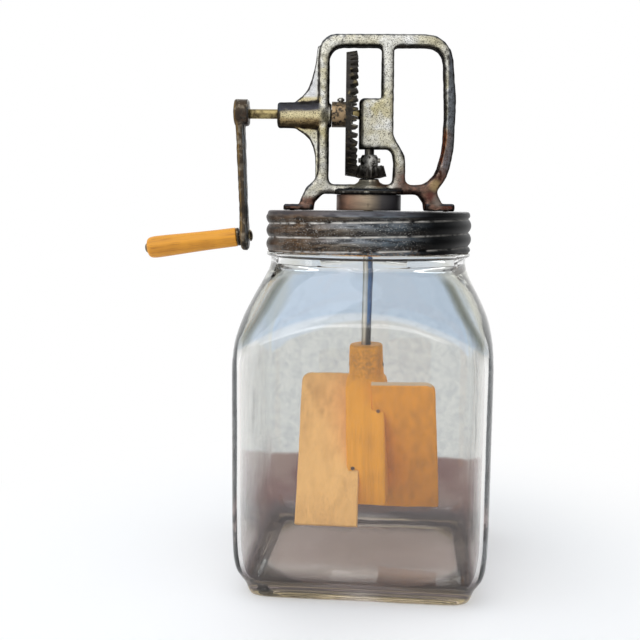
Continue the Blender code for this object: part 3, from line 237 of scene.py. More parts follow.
# Crank arm from its left-facing to its right-facing sides: gold brown, dark, a painted grey highlight, then dark
CRANK_LIGHT_AND_SHADE_TONES = (
    (0.0, "#2E2418"), (0.3, "#77603A"), (0.5, "#463A2C"), (0.68, "#3B3833"), (0.85, "#8A8E90"),
    (1.0, "#383A3C"),
)
# Shaft from its left-facing to its right-facing sides: a painted highlight, then a painted blue sky reflection
SHAFT_HIGHLIGHT_TONES = (
    (0.0, "#8A8578"), (0.25, "#F2EFE6"), (0.5, "#B9B4A8"), (0.6, "#2F6CA6"), (0.85, "#1E4E84"),
    (1.0, "#16304E"),
)
# The dark shaft ends, with a painted highlight on their left-facing sides
DARK_SHAFT_HIGHLIGHT_TONES = (
    (0.0, "#6E685A"), (0.3, "#CFC9B8"), (0.52, "#5A554C"), (0.62, "#2A2723"), (1.0, "#1C1A18"),
)
CORK_TONES = ((0.0, "#5B3F26"), (1.0, "#A97B4C"))

# Patches: centre and radius in millimetres, and tone; a patch is full within a share of its radius
PATCH_CORE = 0.35
# Rust, with the ochre, grey and pale pink patches also painted highlights
RUST_AND_HIGHLIGHT_PATCHES = (
    ((45.5, -4.0, 275.0), 8.0, "#84502E"),
    ((44.5, -4.0, 265.0), 11.0, "#7A4428"),
    ((43.0, -4.0, 252.0), 7.0, "#3A241C"),
    ((41.5, -6.0, 245.5), 5.5, "#9C8560"),
    ((38.5, -6.0, 239.0), 4.5, "#5E3831"),
    ((44.0, -6.0, 236.5), 5.5, "#7E746C"),
    ((50.0, -8.0, 231.0), 6.5, "#5C2418"),
    ((-49.0, -8.0, 231.5), 5.0, "#A0705F"),
)
GEAR_WEAR = (((-21.0, -6.0, 289.0), 12.0, "#A08868"),)
PINION_WEAR = (((0.0, -4.0, 263.0), 12.0, "#C4C2BC"),)
# The crank's second patch darkens the arm towards its lower end
CRANK_PATCHES = (((-79.0, -8.0, 287.0), 9.0, "#4C3C30"), ((-74.0, -8.0, 180.0), 34.0, "#26231F"))
BLOCK_STAINS = (((0.0, -8.0, 133.0), 16.0, "#9A6212"),)
# The first board patch is a stain; the second is a painted shadow at the board's lower edge next to the block
BOARD_STAINS_AND_SHADOW = (((38.0, 14.0, 72.0), 15.0, "#8A5A1C"), ((18.0, 16.0, 66.0), 16.0, "#A8690F"))

# Bands: along what, the millimetres at which each is 0 and 1, and other values than 0 and 1 there
GLASS_BANDS = {
    "back": ("Y", -60, 70),
    "rear wall": ("Y", 64, 73),
    "front half": ("Y", 20, -20),
    "low wall": ("Z", 178, 150),
    # A sharp edge on the back wall for the painted dim surface seen through it
    "sharp mauve": ("Z", 53.5, 50.5),
    "faded mauve": ("Z", 82, 22),
    "over the foot": ("Z", 9, 15),
    "foot": ("Z", 24, 10),
    "foot rim": ("radius", 62, 70),
    "floor": ("Z", 12, 9),
    "floor disc": ("radius", 70, 62),
    # Where the shoulders show a painted sky reflection and, at the bend, a painted highlight
    "shoulder": ("above bend", 1, 5),
    "over bend": ("above bend", -4.5, -1.5),
    "under bend": ("above bend", 6.0, 3.5),
    # Where a painted dark reflection streak runs down the front corners of the shoulders
    "ridge": ("off corner", 7.0, 1.5),
    "ridge foot": ("Z", 140, 156),
    "ridge top": ("Z", 194, 186),
    # Where rays deep inside the glass get painted shade
    "dark wall": ("Z", 12, 30),
    "dark shoulder": ("Z", 186, 176),
    "dark neck": ("Z", 198, 201),
}
ZINC_BANDS = {
    "past brown": ("X", -40, -8),
    "scratched": ("X", 45, 25, 0.2, 1.0),
    # Painted shade towards the right
    "shaded right": ("X", 18, 42),
    # Painted highlight in the grooves, stronger towards the left
    "groove highlight": ("X", 55, 15, 0.25, 1.0),
    "bare metal": ("X", 10, 45, 0.8, 1.0),
    "lower edge": ("Z", LID_LOW / MM + 6, LID_LOW / MM + 1),
    "side": ("Z", LID_TOP / MM - 3, LID_TOP / MM - 6),
    "top edge": ("Z", LID_TOP / MM - 4, LID_TOP / MM - 1.5),
}
CASTING_BANDS = {
    "left web": ("X", -30, -35),
    "web": ("Z", 296, 300),
    "below gears": ("Z", 268, 246),
    "leg curve": ("Z", 276, 256, 0.0, 2.6 * MM),
    "outer leg": ("leg", 47.3, 48.7),
    "leg": ("Z", 244, 250),
    "boss": ("X", -28, -32),
    "boss round": ("off axis", 11.5, 9.0),
    "disc": ("radius", 26, 24),
    "disc top": ("Z", 242, 240),
    "foot height": ("Z", 240, 236),
    "foot": ("radius", 27, 30),
    "right side": ("X", 12, 22),
    "low part": ("Z", 260, 250),
    "dome": ("radius", 15, 12),
    "dome foot": ("Z", 243, 245),
    "dome top": ("Z", 259, 256),
}
SHAFT_BANDS = {"low end": ("Z", 160, 154), "high end": ("Z", 200, 206)}

# Camera, as the photograph was taken
CAMERA_PLACE = Vector((26.8 * MM, -600.91 * MM, 231.95 * MM))
CAMERA_YAW = 0.0945
CAMERA_PITCH = 0.1198
CAMERA_ROLL = 0.0095
CAMERA_LENS = 53.06
CAMERA_SENSOR = 36.0
GLASS_BOUNCES = 64

# Floor and room; lamps: name, place, target, width and height, power, colour
WHITE = (1.0, 1.0, 1.0, 1.0)
FLOOR_DROP = 0.3 * MM
FLOOR_FADE = (0.12, 0.34)
ROOM_LIGHT = Vector((-0.42, -0.42, 0.8)).normalized()
ROOM_RUN = (-0.45, 0.9, 0.3, 1.05)
BACKDROP_RUN = (0.25, 0.7)
WANDERED_DEPTHS = (5.0, 16.0)
DIM_SHARE = 0.2
LAMPS = (
    ("sky", (-0.8, -1.0, 1.5), (0, 0, 0.2), (1.5, 1.5), 9, "#F4F7FF"),
    ("front_strip", (-0.2, -1.5, 0.75), (0, 0, 0.2), (1.4, 0.12), 1.6, "#FFFFFF"),
    ("left_strip", (-1.4, -0.5, 0.4), (0, 0, 0.15), (0.12, 1.2), 1.2, "#FFFDF8"),
    ("back", (0.3, 1.3, 1.0), (0, 0, 0.2), (1.0, 0.7), 5, "#FFFFFF"),
)


def linear(colour):
    """An sRGB hex colour as linear red, green, blue and alpha."""
    parts = [int(colour[at:at + 2], 16) / 255 for at in (1, 3, 5)]
    return tuple(c / 12.92 if c <= 0.04045 else ((c + 0.055) / 1.055) ** 2.4 for c in parts) + (1.0,)


def size_choice(name, description, default):
    return FloatProperty(name=name, description=description, default=default, unit="LENGTH")


def colour_choice(name, description, default):
    return FloatVectorProperty(
        name=name, description=description, subtype="COLOR", size=4, default=linear(default)
    )


class ChurnSizes(bpy.types.PropertyGroup):
    """Sizes of the surface detail that the frame leaves open."""

    edge_round: size_choice("Edge round", "Rounding of machined and sawn edges", 0.25 * MM)
    casting_grain: size_choice("Casting grain", "Width of the sand grain on cast iron", 1.1 * MM)
    grain_width: size_choice("Wood grain", "Width of one band of wood grain", 1.6 * MM)
    floor_radius: size_choice("Floor radius", "Radius of the studio floor", 9.0)


class ChurnColours(bpy.types.PropertyGroup):
    """Main colour of each finish."""

    glass: colour_choice("Glass", "Clear wall of the jar", "#F6F6F5")
    glass_foot: colour_choice("Glass foot", "Sun-purpled thick foot of the jar", "#755350")
    # Painted sky reflection on the sloping shoulders
    shoulder_sky_reflection: colour_choice("Glass shoulder", "Blue cast of the sloping shoulders", "#C9DAEE")
    tinned_iron: colour_choice("Tinned iron", "What is left of the casting's bright coat", "#D4D2C6")
    dark_iron: colour_choice("Dark iron", "Oily iron of the gears", "#34302C")
    steel: colour_choice("Steel", "Oiled screws, nuts and pins", "#9A8E72")
    grip_wood: colour_choice("Grip wood", "Varnished wood of the grip", "#E8A02E")
    hub_wood: colour_choice("Hub wood", "Golden wood of the dasher's block", "#FAA81E")
    pale_board: colour_choice("Pale board", "Left board of the dasher", "#FCC475")
    warm_board: colour_choice("Warm board", "Right board of the dasher", "#F6A01C")


class Finish:
    """A material, or the surroundings, in the making: colours laid over each other in named bands."""

    def __init__(self, owner, bands=None):
        self.owner = owner
        self.bands = bands
        owner.use_nodes = True
        owner.node_tree.nodes.clear()
        self.coords = self.add("TexCoord")
        self.place = self.coords["Object"]

    def add(self, kind, inputs=None, stops=None, **settings):
        """Adds a shader node and gives its outputs. An input's value may be another node's output."""
        tree = self.owner.node_tree
        made = tree.nodes.new("ShaderNode" + kind)
        for name, value in settings.items():
            setattr(made, name, value)
        for key, value in (inputs or {}).items():
            if isinstance(value, bpy.types.NodeSocket):
                tree.links.new(value, made.inputs[key])
            else:
                made.inputs[key].default_value = value
        if stops:
            ramp = made.color_ramp.elements
            while len(ramp) < len(stops):
                ramp.new(1.0)
            for element, (place, colour) in zip(ramp, stops):
                element.position = place
                element.color = linear(colour)
        return made.outputs

    @cached_property
    def lengths(self):
        """What a band can run along: X, Y and Z, and what a finish adds."""
        spot = self.add("SeparateXYZ", {"Vector": self.place})
        return {axis: spot[axis] for axis in "XYZ"}

    @cached_property
    def lean(self):
        """X, Y and Z of the direction that the surface faces."""
        return self.add("SeparateXYZ", {"Vector": self.coords["Normal"]})

    @cached_property
    def facing_out(self):
        """How squarely the surface faces the front or the back."""
        return self.add("Math", {0: self.lean["Y"]}, operation="ABSOLUTE")[0]

    def measure_radius(self):
        """Adds the distance from the upright axis to the lengths."""
        flat = self.add("Mapping", {"Vector": self.place, "Scale": (1.0, 1.0, 0.0)})["Vector"]
        self.lengths["radius"] = self.add("VectorMath", {0: flat}, operation="LENGTH")["Value"]

    def in_metres(self, value, low, high):
        """A value to run along, with its two places, which a named length has in millimetres."""
        if isinstance(value, str):
            return self.lengths[value], low * MM, high * MM
        return value, low, high

    def share(self, *terms):
        """How far all the terms hold at once. A term is a share, a band or the name of one."""
        total = None
        for term in terms:
            if isinstance(term, str):
                term = self.bands[term]
            if isinstance(term, tuple):
                value, low, high = self.in_metres(*term[:3])
                start, end = term[3:] or (0.0, 1.0)
                term = self.add(
                    "MapRange",
                    {"Value": value, "From Min": low, "From Max": high, "To Min": start, "To Max": end},
                    interpolation_type="SMOOTHSTEP",
                )["Result"]
            if total is not None:
                term = self.add("Math", {0: total, 1: term}, operation="MULTIPLY")[0]
            total = term
        return total

    def either(self, first, second):
        """How far one or the other term holds."""
        terms = {0: self.share(first), 1: self.share(second)}
        return self.add("Math", terms, operation="MAXIMUM")[0]

    def layered(self, colour, *layers):
        """A colour under layers, each another colour with the terms where it holds."""
        for over, *terms in layers:
            share = self.share(*terms)
            under, over = (linear(side) if isinstance(side, str) else side for side in (colour, over))
            colour = self.add("Mix", {0: share, 6: under, 7: over}, data_type="RGBA")[2]
        return colour

    def patches(self, places, *terms):
        """Layers for patches, where the terms hold."""
        for centre, radius, tone in places:
            middle = [axis * MM for axis in centre]
            away = self.add("VectorMath", {0: self.place, 1: middle}, operation="DISTANCE")["Value"]
            reach = radius * MM
            yield tone, (away, reach, PATCH_CORE * reach), *terms

    def toned(self, value, low, high, stops):
        """A run of colours along a value, with each stop's place from 0 at low to 1 at high."""
        value, low, high = self.in_metres(value, low, high)
        run = self.add("MapRange", {"Value": value, "From Min": low, "From Max": high})
        return self.add("ValToRGB", {"Fac": run["Result"]}, stops)["Color"]

    def mask(self, size, low, high, detail=4.0, distortion=0.0, vector=None):
        """Blotches of about the given size, from 0 below low to 1 above high."""
        cloud = self.add(
            "TexNoise",
            {"Vector": vector or self.place, "Scale": 1 / size, "Detail": detail,
             "Distortion": distortion},
        )
        return self.add("MapRange", {"Value": cloud["Fac"], "From Min": low, "From Max": high})["Result"]

    def uneven(self, size, strength, depth, detail=5.0):
        """A bumpy surface, as a normal."""
        cloud = self.add("TexNoise", {"Vector": self.place, "Scale": 1 / size, "Detail": detail})
        bump = self.add("Bump", {"Height": cloud["Fac"], "Strength": strength, "Distance": depth})
        return bump["Normal"]

    def any_ray(self, *kinds):
        """1 for rays of any of the kinds."""
        path = self.add("LightPath")
        found = path[f"Is {kinds[0]} Ray"]
        for kind in kinds[1:]:
            found = self.either(found, path[f"Is {kind} Ray"])
        return found

    def solid(self, colour, metallic, roughness, normal, more=None):
        """Ends the material as an opaque one."""
        inputs = {"Base Color": colour, "Metallic": metallic, "Roughness": roughness, "Normal": normal}
        return self.closed(self.add("BsdfPrincipled", inputs | (more or {})))

    def closed(self, shader, output="OutputMaterial"):
        """Ends the material or the surroundings with a shader."""
        self.add(output, {"Surface": shader[0]})
        return self.owner


def new_finish(name, bands=None):
    """A new material's finish."""
    return Finish(bpy.data.materials.new(name), bands)


def clear_glass(colours):
    """Pressed soda glass, greyer towards the back. The sun has turned its thick foot mauve; the mauve that reaches
    up the back wall to a sharp edge is also a painted stand-in for a dim surface seen through it. Its front wall
    is almost colourless. Its sloping shoulders carry a painted sky reflection, blue on the faces and grey green
    round the corners, starting at a painted bright line at the bend, with a painted dark reflection streak down
    each front corner. The rim of its foot has painted highlight and shade, and rays that have gone far inside it
    are painted dark, a painted shade that makes its edges show."""
    glass = new_finish("pressed_soda_glass", GLASS_BANDS)
    glass.measure_radius()
    glass.lengths["above bend"] = glass.add("Attribute", attribute_name="above_bend")["Fac"]
    aside = glass.add("Math", {0: glass.lengths["X"]}, operation="ABSOLUTE")[0]
    ahead = glass.add("Math", {0: aside, 1: glass.lengths["Y"]})[0]
    glass.lengths["off corner"] = glass.add("Math", {0: ahead}, operation="ABSOLUTE")[0]
    back = glass.share("back")
    cloud = glass.mask(7 * MM, 0.42, 0.66, 6.0, 1.0)
    # Greyer towards the back, with grey mottling low on the wall
    grey_back_wall = glass.layered("#D2D4D1", ("#BEC2C2", cloud, "low wall"))
    edges = {
        0: glass.share("rear wall"), 2: glass.share("faded mauve"), 3: glass.share("sharp mauve")
    }
    low = glass.add("Mix", edges, data_type="FLOAT")[0]
    # Mauve: the foot's own tint, and on the back wall also a painted stand-in for a dim surface seen through the
    # glass, with a sharp edge at about 52 mm
    mauve = glass.layered(colours.glass_foot, ("#8F7870", glass.mask(22 * MM, 0.4, 0.62, 2.0)))
    # Painted sky reflection on the shoulders: blue where they face front or back, grey green round the corners
    cast = glass.layered("#CBCBBE", (colours.shoulder_sky_reflection, (glass.facing_out, 0.35, 0.6)))
    depth = glass.add("LightPath")["Ray Depth"]
    colour = glass.layered(
        colours.glass,
        (grey_back_wall, back),
        (mauve, low, "over the foot", (back, 0.0, 1.0, 0.2, 1.0)),
        # Painted highlight and shade round the rim of the foot
        (glass.toned("Z", 0, 24, FOOT_TONES_AND_LIGHT), "foot", "foot rim", 0.95),
        ("#DDD2CA", "floor", "floor disc"),
        (cast, "shoulder"),
        # Painted highlight: a white line along the bend on the front half
        (WHITE, "over bend", "under bend", "front half"),
        # Painted dark reflection: an olive streak down each front corner of the shoulders
        ("#6C6D58", "ridge", 0.85, "ridge foot", "ridge top"),
        # Painted shade: rays deep inside the glass are darkened, except on the foot and round the foot of the neck
        ("#26292B", (depth, 6.0, 14.0), "dark wall", glass.either("dark shoulder", "dark neck")),
    )
    clear = glass.add(
        "BsdfPrincipled",
        {"Base Color": colour, "Roughness": 0.01, "IOR": 1.5, "Transmission Weight": 1.0,
         "Normal": glass.uneven(14 * MM, 0.12, 0.6 * MM, 1.5)},
    )
    shadow = glass.any_ray("Shadow")
    open_way = glass.add("BsdfTransparent", {"Color": WHITE})
    return glass.closed(glass.add("MixShader", {0: shadow, 1: clear[0], 2: open_way[0]}))


def tarnished_zinc(name, reach, tones, soil_and_shade):
    """Rolled zinc sheet gone dull: brown towards the left, with rust specks at the lower edge and fine rubbed
    scratches. It has painted shade, dark brown where it faces down and near black towards the right, a painted
    blue-grey sky reflection where it faces up, and painted pale highlight lines in the grooves of the thread."""
    zinc = new_finish(name, ZINC_BANDS)
    lean = zinc.lean["Z"]
    drawn_out = zinc.add("Mapping", {"Vector": zinc.place, "Scale": (0.3, 0.3, 1.7)})["Vector"]
    rubbed = zinc.add("Mapping", {"Vector": zinc.place, "Scale": (0.5, 0.5, 1.0)})["Vector"]
    streak = zinc.mask(3.0 * MM, 0.46, 0.6, 8.0, 0.3, drawn_out)
    scratch = zinc.mask(0.5 * MM, 0.6, 0.67, 2.0, 0.0, rubbed)
    groove = zinc.add("Attribute", attribute_name="groove")["Fac"]
    colour = zinc.layered(
        # The run from left to right paints highlight and shade as well as tone
        zinc.toned(zinc.lengths["X"], -reach, reach, tones),
        # Painted sky reflection: blue grey where the sheet faces up
        ("#6C7680", (lean, 0.02, 0.35), 0.5 * soil_and_shade, "past brown"),
        # Painted shade: dark brown where the sheet faces down
        ("#2E2318", (lean, -0.02, -0.35), 0.6 * soil_and_shade),
        ("#928E88", zinc.mask(6 * MM, 0.46, 0.66, 6.0, 0.6), 0.2 * soil_and_shade),
        ("#141416", streak, 0.75 * soil_and_shade, (lean, 0.9, 0.6, 0.3, 1.0)),
        ("#8E6A40", zinc.mask(1.3 * MM, 0.55, 0.66, 2.0), "lower edge", 0.5),
        ("#C9C7C2", scratch, 0.45 * soil_and_shade, "scratched", "side"),
        ("#4E4B50", "top edge", 0.6),
        # Painted shade: near black towards the right
        ("#0B0C0D", "shaded right", 0.95 * soil_and_shade),
        # Painted highlight: pale lines in the grooves of the thread
        ("#E2DFD9", groove, zinc.mask(6 * MM, 0.34, 0.52), "groove highlight", 0.85),
    )
    metallic = zinc.share("bare metal")
    return zinc.solid(colour, metallic, 0.45, zinc.uneven(1.3 * MM, 0.35, 0.12 * MM))


def worn_casting(colours, grain):
    """Sand-cast iron with a worn tin coat: silver and straw yellow with dark specks on the flats, and brown and
    rusty low on the right. Painted shade makes it near black along the edges, in the creases and round the sides,
    with a painted blue-grey sky reflection where these face up; painted highlight and shade also run round the
    boss, the disc and the dome. Its shaded sides have a dim specular tint, so that they don't shine at a low
    angle."""
    iron = new_finish("worn_tinned_cast_iron", CASTING_BANDS)
    iron.measure_radius()
    lean = iron.lean["Z"]
    leg = {0: iron.lengths["X"], 1: iron.share("leg curve")}
    iron.lengths["leg"] = iron.add("Math", leg)[0]
    above_axis = {0: iron.lengths["Z"], 1: CRANK_CENTRE.z}
    above_axis = iron.add("Math", above_axis, operation="SUBTRACT")[0]
    iron.lengths["off axis"] = iron.add("Math", {0: above_axis}, operation="ABSOLUTE")[0]
    # Only faces toward the front or back show the coat; the sides get painted shade
    flat = iron.share((iron.facing_out, 0.3, 0.8))
    bare = iron.share("left web", "web")
    # The outer half of the right leg, which gets painted shade with a blue cast
    outside = iron.share("outer leg", "leg")
    dome = iron.share("dome", "dome foot", "dome top")
    brown = iron.either(iron.share("foot height", "foot"), iron.share("right side", "low part"))
    # How far each point stands out, which places painted shade on the edges and in the creases
    wear = iron.add("Attribute", attribute_name="wear")["Fac"]
    ragged = iron.mask(3.2 * MM, 0.26, 0.4, 5.0, 0.5)
    inside = iron.share((outside, 0.0, 1.0, 1.0, 0.2))
    earth = iron.layered("#503C33", ("#7C5A4C", iron.mask(4 * MM, 0.4, 0.6, 5.0, 0.5)))
    # Painted shade for the proud edges, with a painted blue-grey sky reflection where they face up
    rim = iron.layered("#1E1915", ("#353B43", (lean, 0.1, 0.6)))
    # Painted shade for the sides, with a painted blue-grey sky reflection where they face up
    side = iron.layered(
        "#17130F", ("#3A2F24", iron.mask(8 * MM, 0.42, 0.6)), ("#4A5058", (lean, 0.2, 0.8))
    )
    coat = iron.layered(
        colours.tinned_iron,
        ("#BFB68F", iron.mask(24 * MM, 0.35, 0.65, 2.0)),
        ("#E2E2DE", iron.mask(10 * MM, 0.42, 0.66, 4.0, 0.5)),
        ("#D2D3D4", bare),
        ("#8A836C", "below gears", 0.3),
        # Painted shade with a blue cast on the outer half of the right leg
        ("#49515C", outside, 0.9),
    )
    colour = iron.layered(
        side,
        (coat, flat),
        # Painted highlight and shade round the boss
        (iron.toned(lean, -1.0, 1.0, BOSS_LIGHT_AND_SHADE_TONES), "boss", "boss round"),
        # Painted highlight and shade across the disc
        (iron.toned("X", -22, 22, DISC_LIGHT_AND_SHADE_TONES), "disc", "disc top", 0.9),
        ("#332D26", iron.mask(0.6 * grain, 0.53, 0.62, 2.0), 0.75, (bare, 0.0, 1.0, 1.0, 0.3)),
        (earth, brown, 0.95),
        # Rust patches, some also painted highlights
        *iron.patches(RUST_AND_HIGHLIGHT_PATCHES, ragged, inside),
        # Painted highlight and shade across the dome
        (iron.toned("X", -12, 12, DOME_LIGHT_AND_SHADE_TONES), dome),
        # Painted shade in the creases, then along the proud edges
        ("#1D1815", (wear, 0.42, 0.2), 0.95, (dome, 1.0, 0.0)),
        (rim, (wear, 0.61, 0.8), 0.95),
    )
    gloss = iron.share((flat, 0.0, 1.0, 0.5, 0.36))
    sand = iron.uneven(grain, 0.6, 0.3 * MM)
    # A dim specular tint keeps the painted shade of the sides from shining
    edge = iron.layered("#5A5A5A", (WHITE, flat))
    return iron.solid(colour, 0.9, gloss, sand, {"Specular Tint": edge})


def oily_iron(name, dark, grease_and_glint, soot, grain, gold, patches):
    """Dark iron under old grease: near black, with gold-brown smears of grease whose colour is partly a painted
    glint, and another colour in patches, worn on the gears' hubs and darker towards the crank arm's lower end. The
    iron is one colour, or a run of them from its left sides to its right ones that paints highlight and shade."""
    iron = new_finish(name)
    if isinstance(dark, tuple):
        dark = iron.toned(iron.lean["X"], -1.0, 1.0, dark)
    # Smears of grease whose colour is partly a painted glint
    smear = iron.mask(4.5 * MM, *gold, 6.0, 0.7)
    colour = iron.layered(
        dark,
        (grease_and_glint, smear, 0.8),
        (soot, iron.mask(9 * MM, 0.48, 0.66, 4.0), 0.8),
        *iron.patches(patches, iron.mask(2 * MM, 0.4, 0.56, 4.0)),
    )
    rough = iron.share((smear, 0.0, 1.0, 0.48, 0.34))
    return iron.solid(colour, 0.85, rough, iron.uneven(grain, 0.6, 0.25 * MM))


def oily_steel(name, colour, film, roughness, metallic=0.95):
    """Turned steel with a film of old oil, and faint rings left by the lathe."""
    steel = new_finish(name)
    shade = steel.layered(colour, (film, steel.mask(5 * MM, 0.44, 0.66, 5.0, 0.5)))
    return steel.solid(shade, metallic, roughness, steel.uneven(0.9 * MM, 0.3, 0.08 * MM, 3.0))


def oiled_steel(colours):
    """The steel that screws, nuts, pins and the grip's spindle share."""
    name = "oiled_turned_steel"
    return bpy.data.materials.get(name) or oily_steel(name, colours.steel, "#4B4234", 0.36)


def painted_sheen_steel():
    """A ground steel shaft with a painted highlight on its left side and a painted blue sky reflection on its
    right one, near black towards both ends.
    """
    steel = new_finish("ground_steel_painted_sheen", SHAFT_BANDS)
    blue = steel.toned(steel.lean["X"], -1.0, 1.0, SHAFT_HIGHLIGHT_TONES)
    black = steel.toned(steel.lean["X"], -1.0, 1.0, DARK_SHAFT_HIGHLIGHT_TONES)
    uneven = steel.mask(6 * MM, 0.4, 0.6, 4.0)
    colour = steel.layered(blue, (black, uneven, 0.3), (black, steel.either("low end", "high end")))
    return steel.solid(colour, 0.7, 0.35, steel.uneven(0.9 * MM, 0.2, 0.05 * MM, 3.0))


def pressed_cork():
    """Ground cork pressed into a flat ring: speckled brown and quite matt."""
    cork = new_finish("pressed_cork")
    cells = cork.add("TexVoronoi", {"Vector": cork.place, "Scale": 1 / (1.2 * MM)})["Distance"]
    bump = cork.add("Bump", {"Height": cells, "Strength": 0.4, "Distance": 0.2 * MM})["Normal"]
    return cork.solid(cork.toned(cells, 0.0, 1.0, CORK_TONES), 0.0, 0.9, bump)


def old_wood(name, colour, deep, width, turn=(0, 0, 0), coat=0.0, stains_and_shadow=(), ends=0.0):
    """Close-grained hardwood. Its grain runs along the Z of the given turn, in bands of the given width
    that are drawn about twice as coarse as the real pores so that they show. Its end grain is greyed by
    the given share."""
    wood = new_finish(name)
    along = wood.add(
        "Mapping", {"Vector": wood.place, "Rotation": turn, "Scale": (1.0, 1.0, 20.0)},
        vector_type="TEXTURE",
    )["Vector"]
    bands = wood.add(
        "TexNoise", {"Vector": along, "Scale": 1 / (3.2 * width), "Detail": 5.0, "Distortion": 0.25}
    )["Fac"]
    band = wood.add("MapRange", {"Value": bands, "From Min": 0.35, "From Max": 0.75})["Result"]
    shade = wood.layered(
        colour,
        (deep, band, 0.8),
        (deep, wood.mask(0.5 * width, 0.54, 0.7, 3.0, 0.0, along), 0.6),
        (colour, wood.mask(20 * MM, 0.35, 0.7, 3.0), 0.7),
        *wood.patches(stains_and_shadow, (wood.mask(1.6 * MM, 0.36, 0.66, 4.0), 0.0, 1.0, 0.2, 0.7)),
        ("#D8CFB8", (wood.lean["Z"], 0.5, 0.85), ends),
    )
    bump = wood.add("Bump", {"Height": bands, "Strength": 0.25, "Distance": 0.15 * MM})["Normal"]
    gloss = {"Specular IOR Level": 0.25, "Coat Weight": coat, "Coat Roughness": 0.25}
    return wood.solid(shade, 0.0, 0.6, bump, gloss)


def facing(direction):
    """A turn that takes +Z to the given direction."""
    return UP.rotation_difference(Vector(direction)).to_matrix().to_4x4()


CRANK_PLACE = Matrix.Translation(CRANK_CENTRE) @ facing(CRANK_AXIS)
GRIP_PLACE = Matrix.Translation(GRIP_CENTRE) @ facing(GRIP_AXIS)


def node_reach(node, place):
    """A node's lowest and highest distance along a place's Z, and its largest radius about it."""
    inverse = place.inverted()
    points = [inverse @ vert.co for vert in frame["nodes"][node].data.vertices]
    heights = [point.z for point in points]
    return min(heights), max(heights), max(point.xy.length for point in points)


def turned(profile, steps=ROUND_STEPS):
    """A profile of (radius, height) points spun about Z, open where it starts and ends on the axis."""
    bm = bmesh.new()
    verts = [bm.verts.new((radius, 0, height)) for radius, height in profile]
    pairs = list(zip(verts, verts[1:]))
    if profile[0][0] > 0:
        pairs.append((verts[-1], verts[0]))
    edges = [bm.edges.new(pair) for pair in pairs]
    bmesh.ops.spin(
        bm, geom=verts + edges, cent=(0, 0, 0), axis=UP, angle=FULL_TURN, steps=steps, use_merge=True
    )
    bmesh.ops.remove_doubles(bm, verts=bm.verts, dist=MERGE)
    bmesh.ops.recalc_face_normals(bm, faces=bm.faces)
    return bm


def soften(bm, width):
    """Rounds every edge that turns sharply."""
    sharp = [edge for edge in bm.edges if edge.is_manifold and edge.calc_face_angle() > SHARP]
    bmesh.ops.bevel(
        bm, geom=sharp, offset=width, offset_type="OFFSET", segments=2, profile=0.5,
        affect="EDGES", material=-1, clamp_overlap=True,
    )
    return bm


def node_copy(node):
    """A node's shape as one joined skin."""
    bm = bmesh.new()
    bm.from_mesh(frame["nodes"][node].data)
    bmesh.ops.remove_doubles(bm, verts=bm.verts, dist=MERGE)
    return bm


def recut(node, width):
    """A node's own shape with clean flats and rounded edges."""
    bm = node_copy(node)
    bmesh.ops.dissolve_limit(bm, angle_limit=FLAT, verts=bm.verts, edges=bm.edges)
    return soften(bm, width)


def narrowed(bm, share):
    """A piece drawn in from all round toward the line through its middle that runs front to back."""
    middle = sum((vert.co for vert in bm.verts), Vector()) / len(bm.verts)
    bmesh.ops.scale(bm, vec=(share, 1.0, share), space=Matrix.Translation(-middle), verts=bm.verts)
    return bm


def put_in_place(bm, place):
    """Moves and turns a piece from the middle to its place."""
    bmesh.ops.transform(bm, matrix=place, verts=bm.verts)
    return bm


def as_mesh(bm, name):
    """A skin as a mesh of its own."""
    mesh = bpy.data.meshes.new(name)
    bm.to_mesh(mesh)
    bm.free()
    return mesh


def shown(data):
    """An object for a mesh, a lamp or a lens, in the scene and under its name."""
    made = bpy.data.objects.new(data.name, data)
    bpy.context.scene.collection.objects.link(made)
    return made


def finished(bm, node, material, fields=None):
    """Makes a skin the shown piece for a node, on that node's body, with the given values per point."""
    mesh = as_mesh(bm, "finished_" + node)
    mesh.shade_smooth()
    mesh.set_sharp_from_angle(angle=SHARP)
    mesh.materials.append(material)
    for name, values in (fields or {}).items():
        mesh.attributes.new(name, "FLOAT", "POINT").data.foreach_set("value", values)
    piece = shown(mesh)
    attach(piece, BODY_OF[node])
    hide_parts(node)


def trimmed(node, width, material):
    """Shows a node in its own shape, with softened edges."""
    finished(recut(node, width), node, material)


def cast_skin(node):
    """A node's shape as a soft cast skin: remeshed, smoothed and slightly uneven."""
    voxel, smoothing, relief = SKINS[node]
    core = shown(as_mesh(node_copy(node), node + "_core"))
    remesh = core.modifiers.new("skin", "REMESH")
    remesh.mode = "VOXEL"
    remesh.voxel_size = voxel
    smooth = core.modifiers.new("soften", "SMOOTH")
    smooth.factor = HALF
    smooth.iterations = smoothing
    graph = bpy.context.evaluated_depsgraph_get()
    shaped = bpy.data.meshes.new_from_object(core.evaluated_get(graph))
    bpy.data.objects.remove(core)
    bm = bmesh.new()
    bm.from_mesh(shaped)
    bm.normal_update()
    for vert in bm.verts:
        swell = sum(noise.noise(vert.co / length) for length in RELIEF_LENGTHS)
        vert.co += vert.normal * relief * swell
    return bm


def proudness_of(bm):
    """How far each point stands out of its surroundings: over a half on edges, under it in creases."""
    bm.verts.index_update()
    bm.normal_update()
    points = np.array([vert.co for vert in bm.verts])
    normals = np.array([vert.normal for vert in bm.verts])
    ends = np.array([[vert.index for vert in edge.verts] for edge in bm.edges])
    count = np.bincount(ends.ravel(), minlength=len(points))[:, None]
    soft = points
    for _ in range(PROUDNESS_STEPS):
        total = np.zeros_like(points)
        np.add.at(total, ends[:, 0], soft[ends[:, 1]])
        np.add.at(total, ends[:, 1], soft[ends[:, 0]])
        soft = total / count
    proud = ((points - soft) * normals).sum(axis=1)
    return np.clip(HALF + proud / (2 * PROUDNESS_DEPTH), 0, 1)


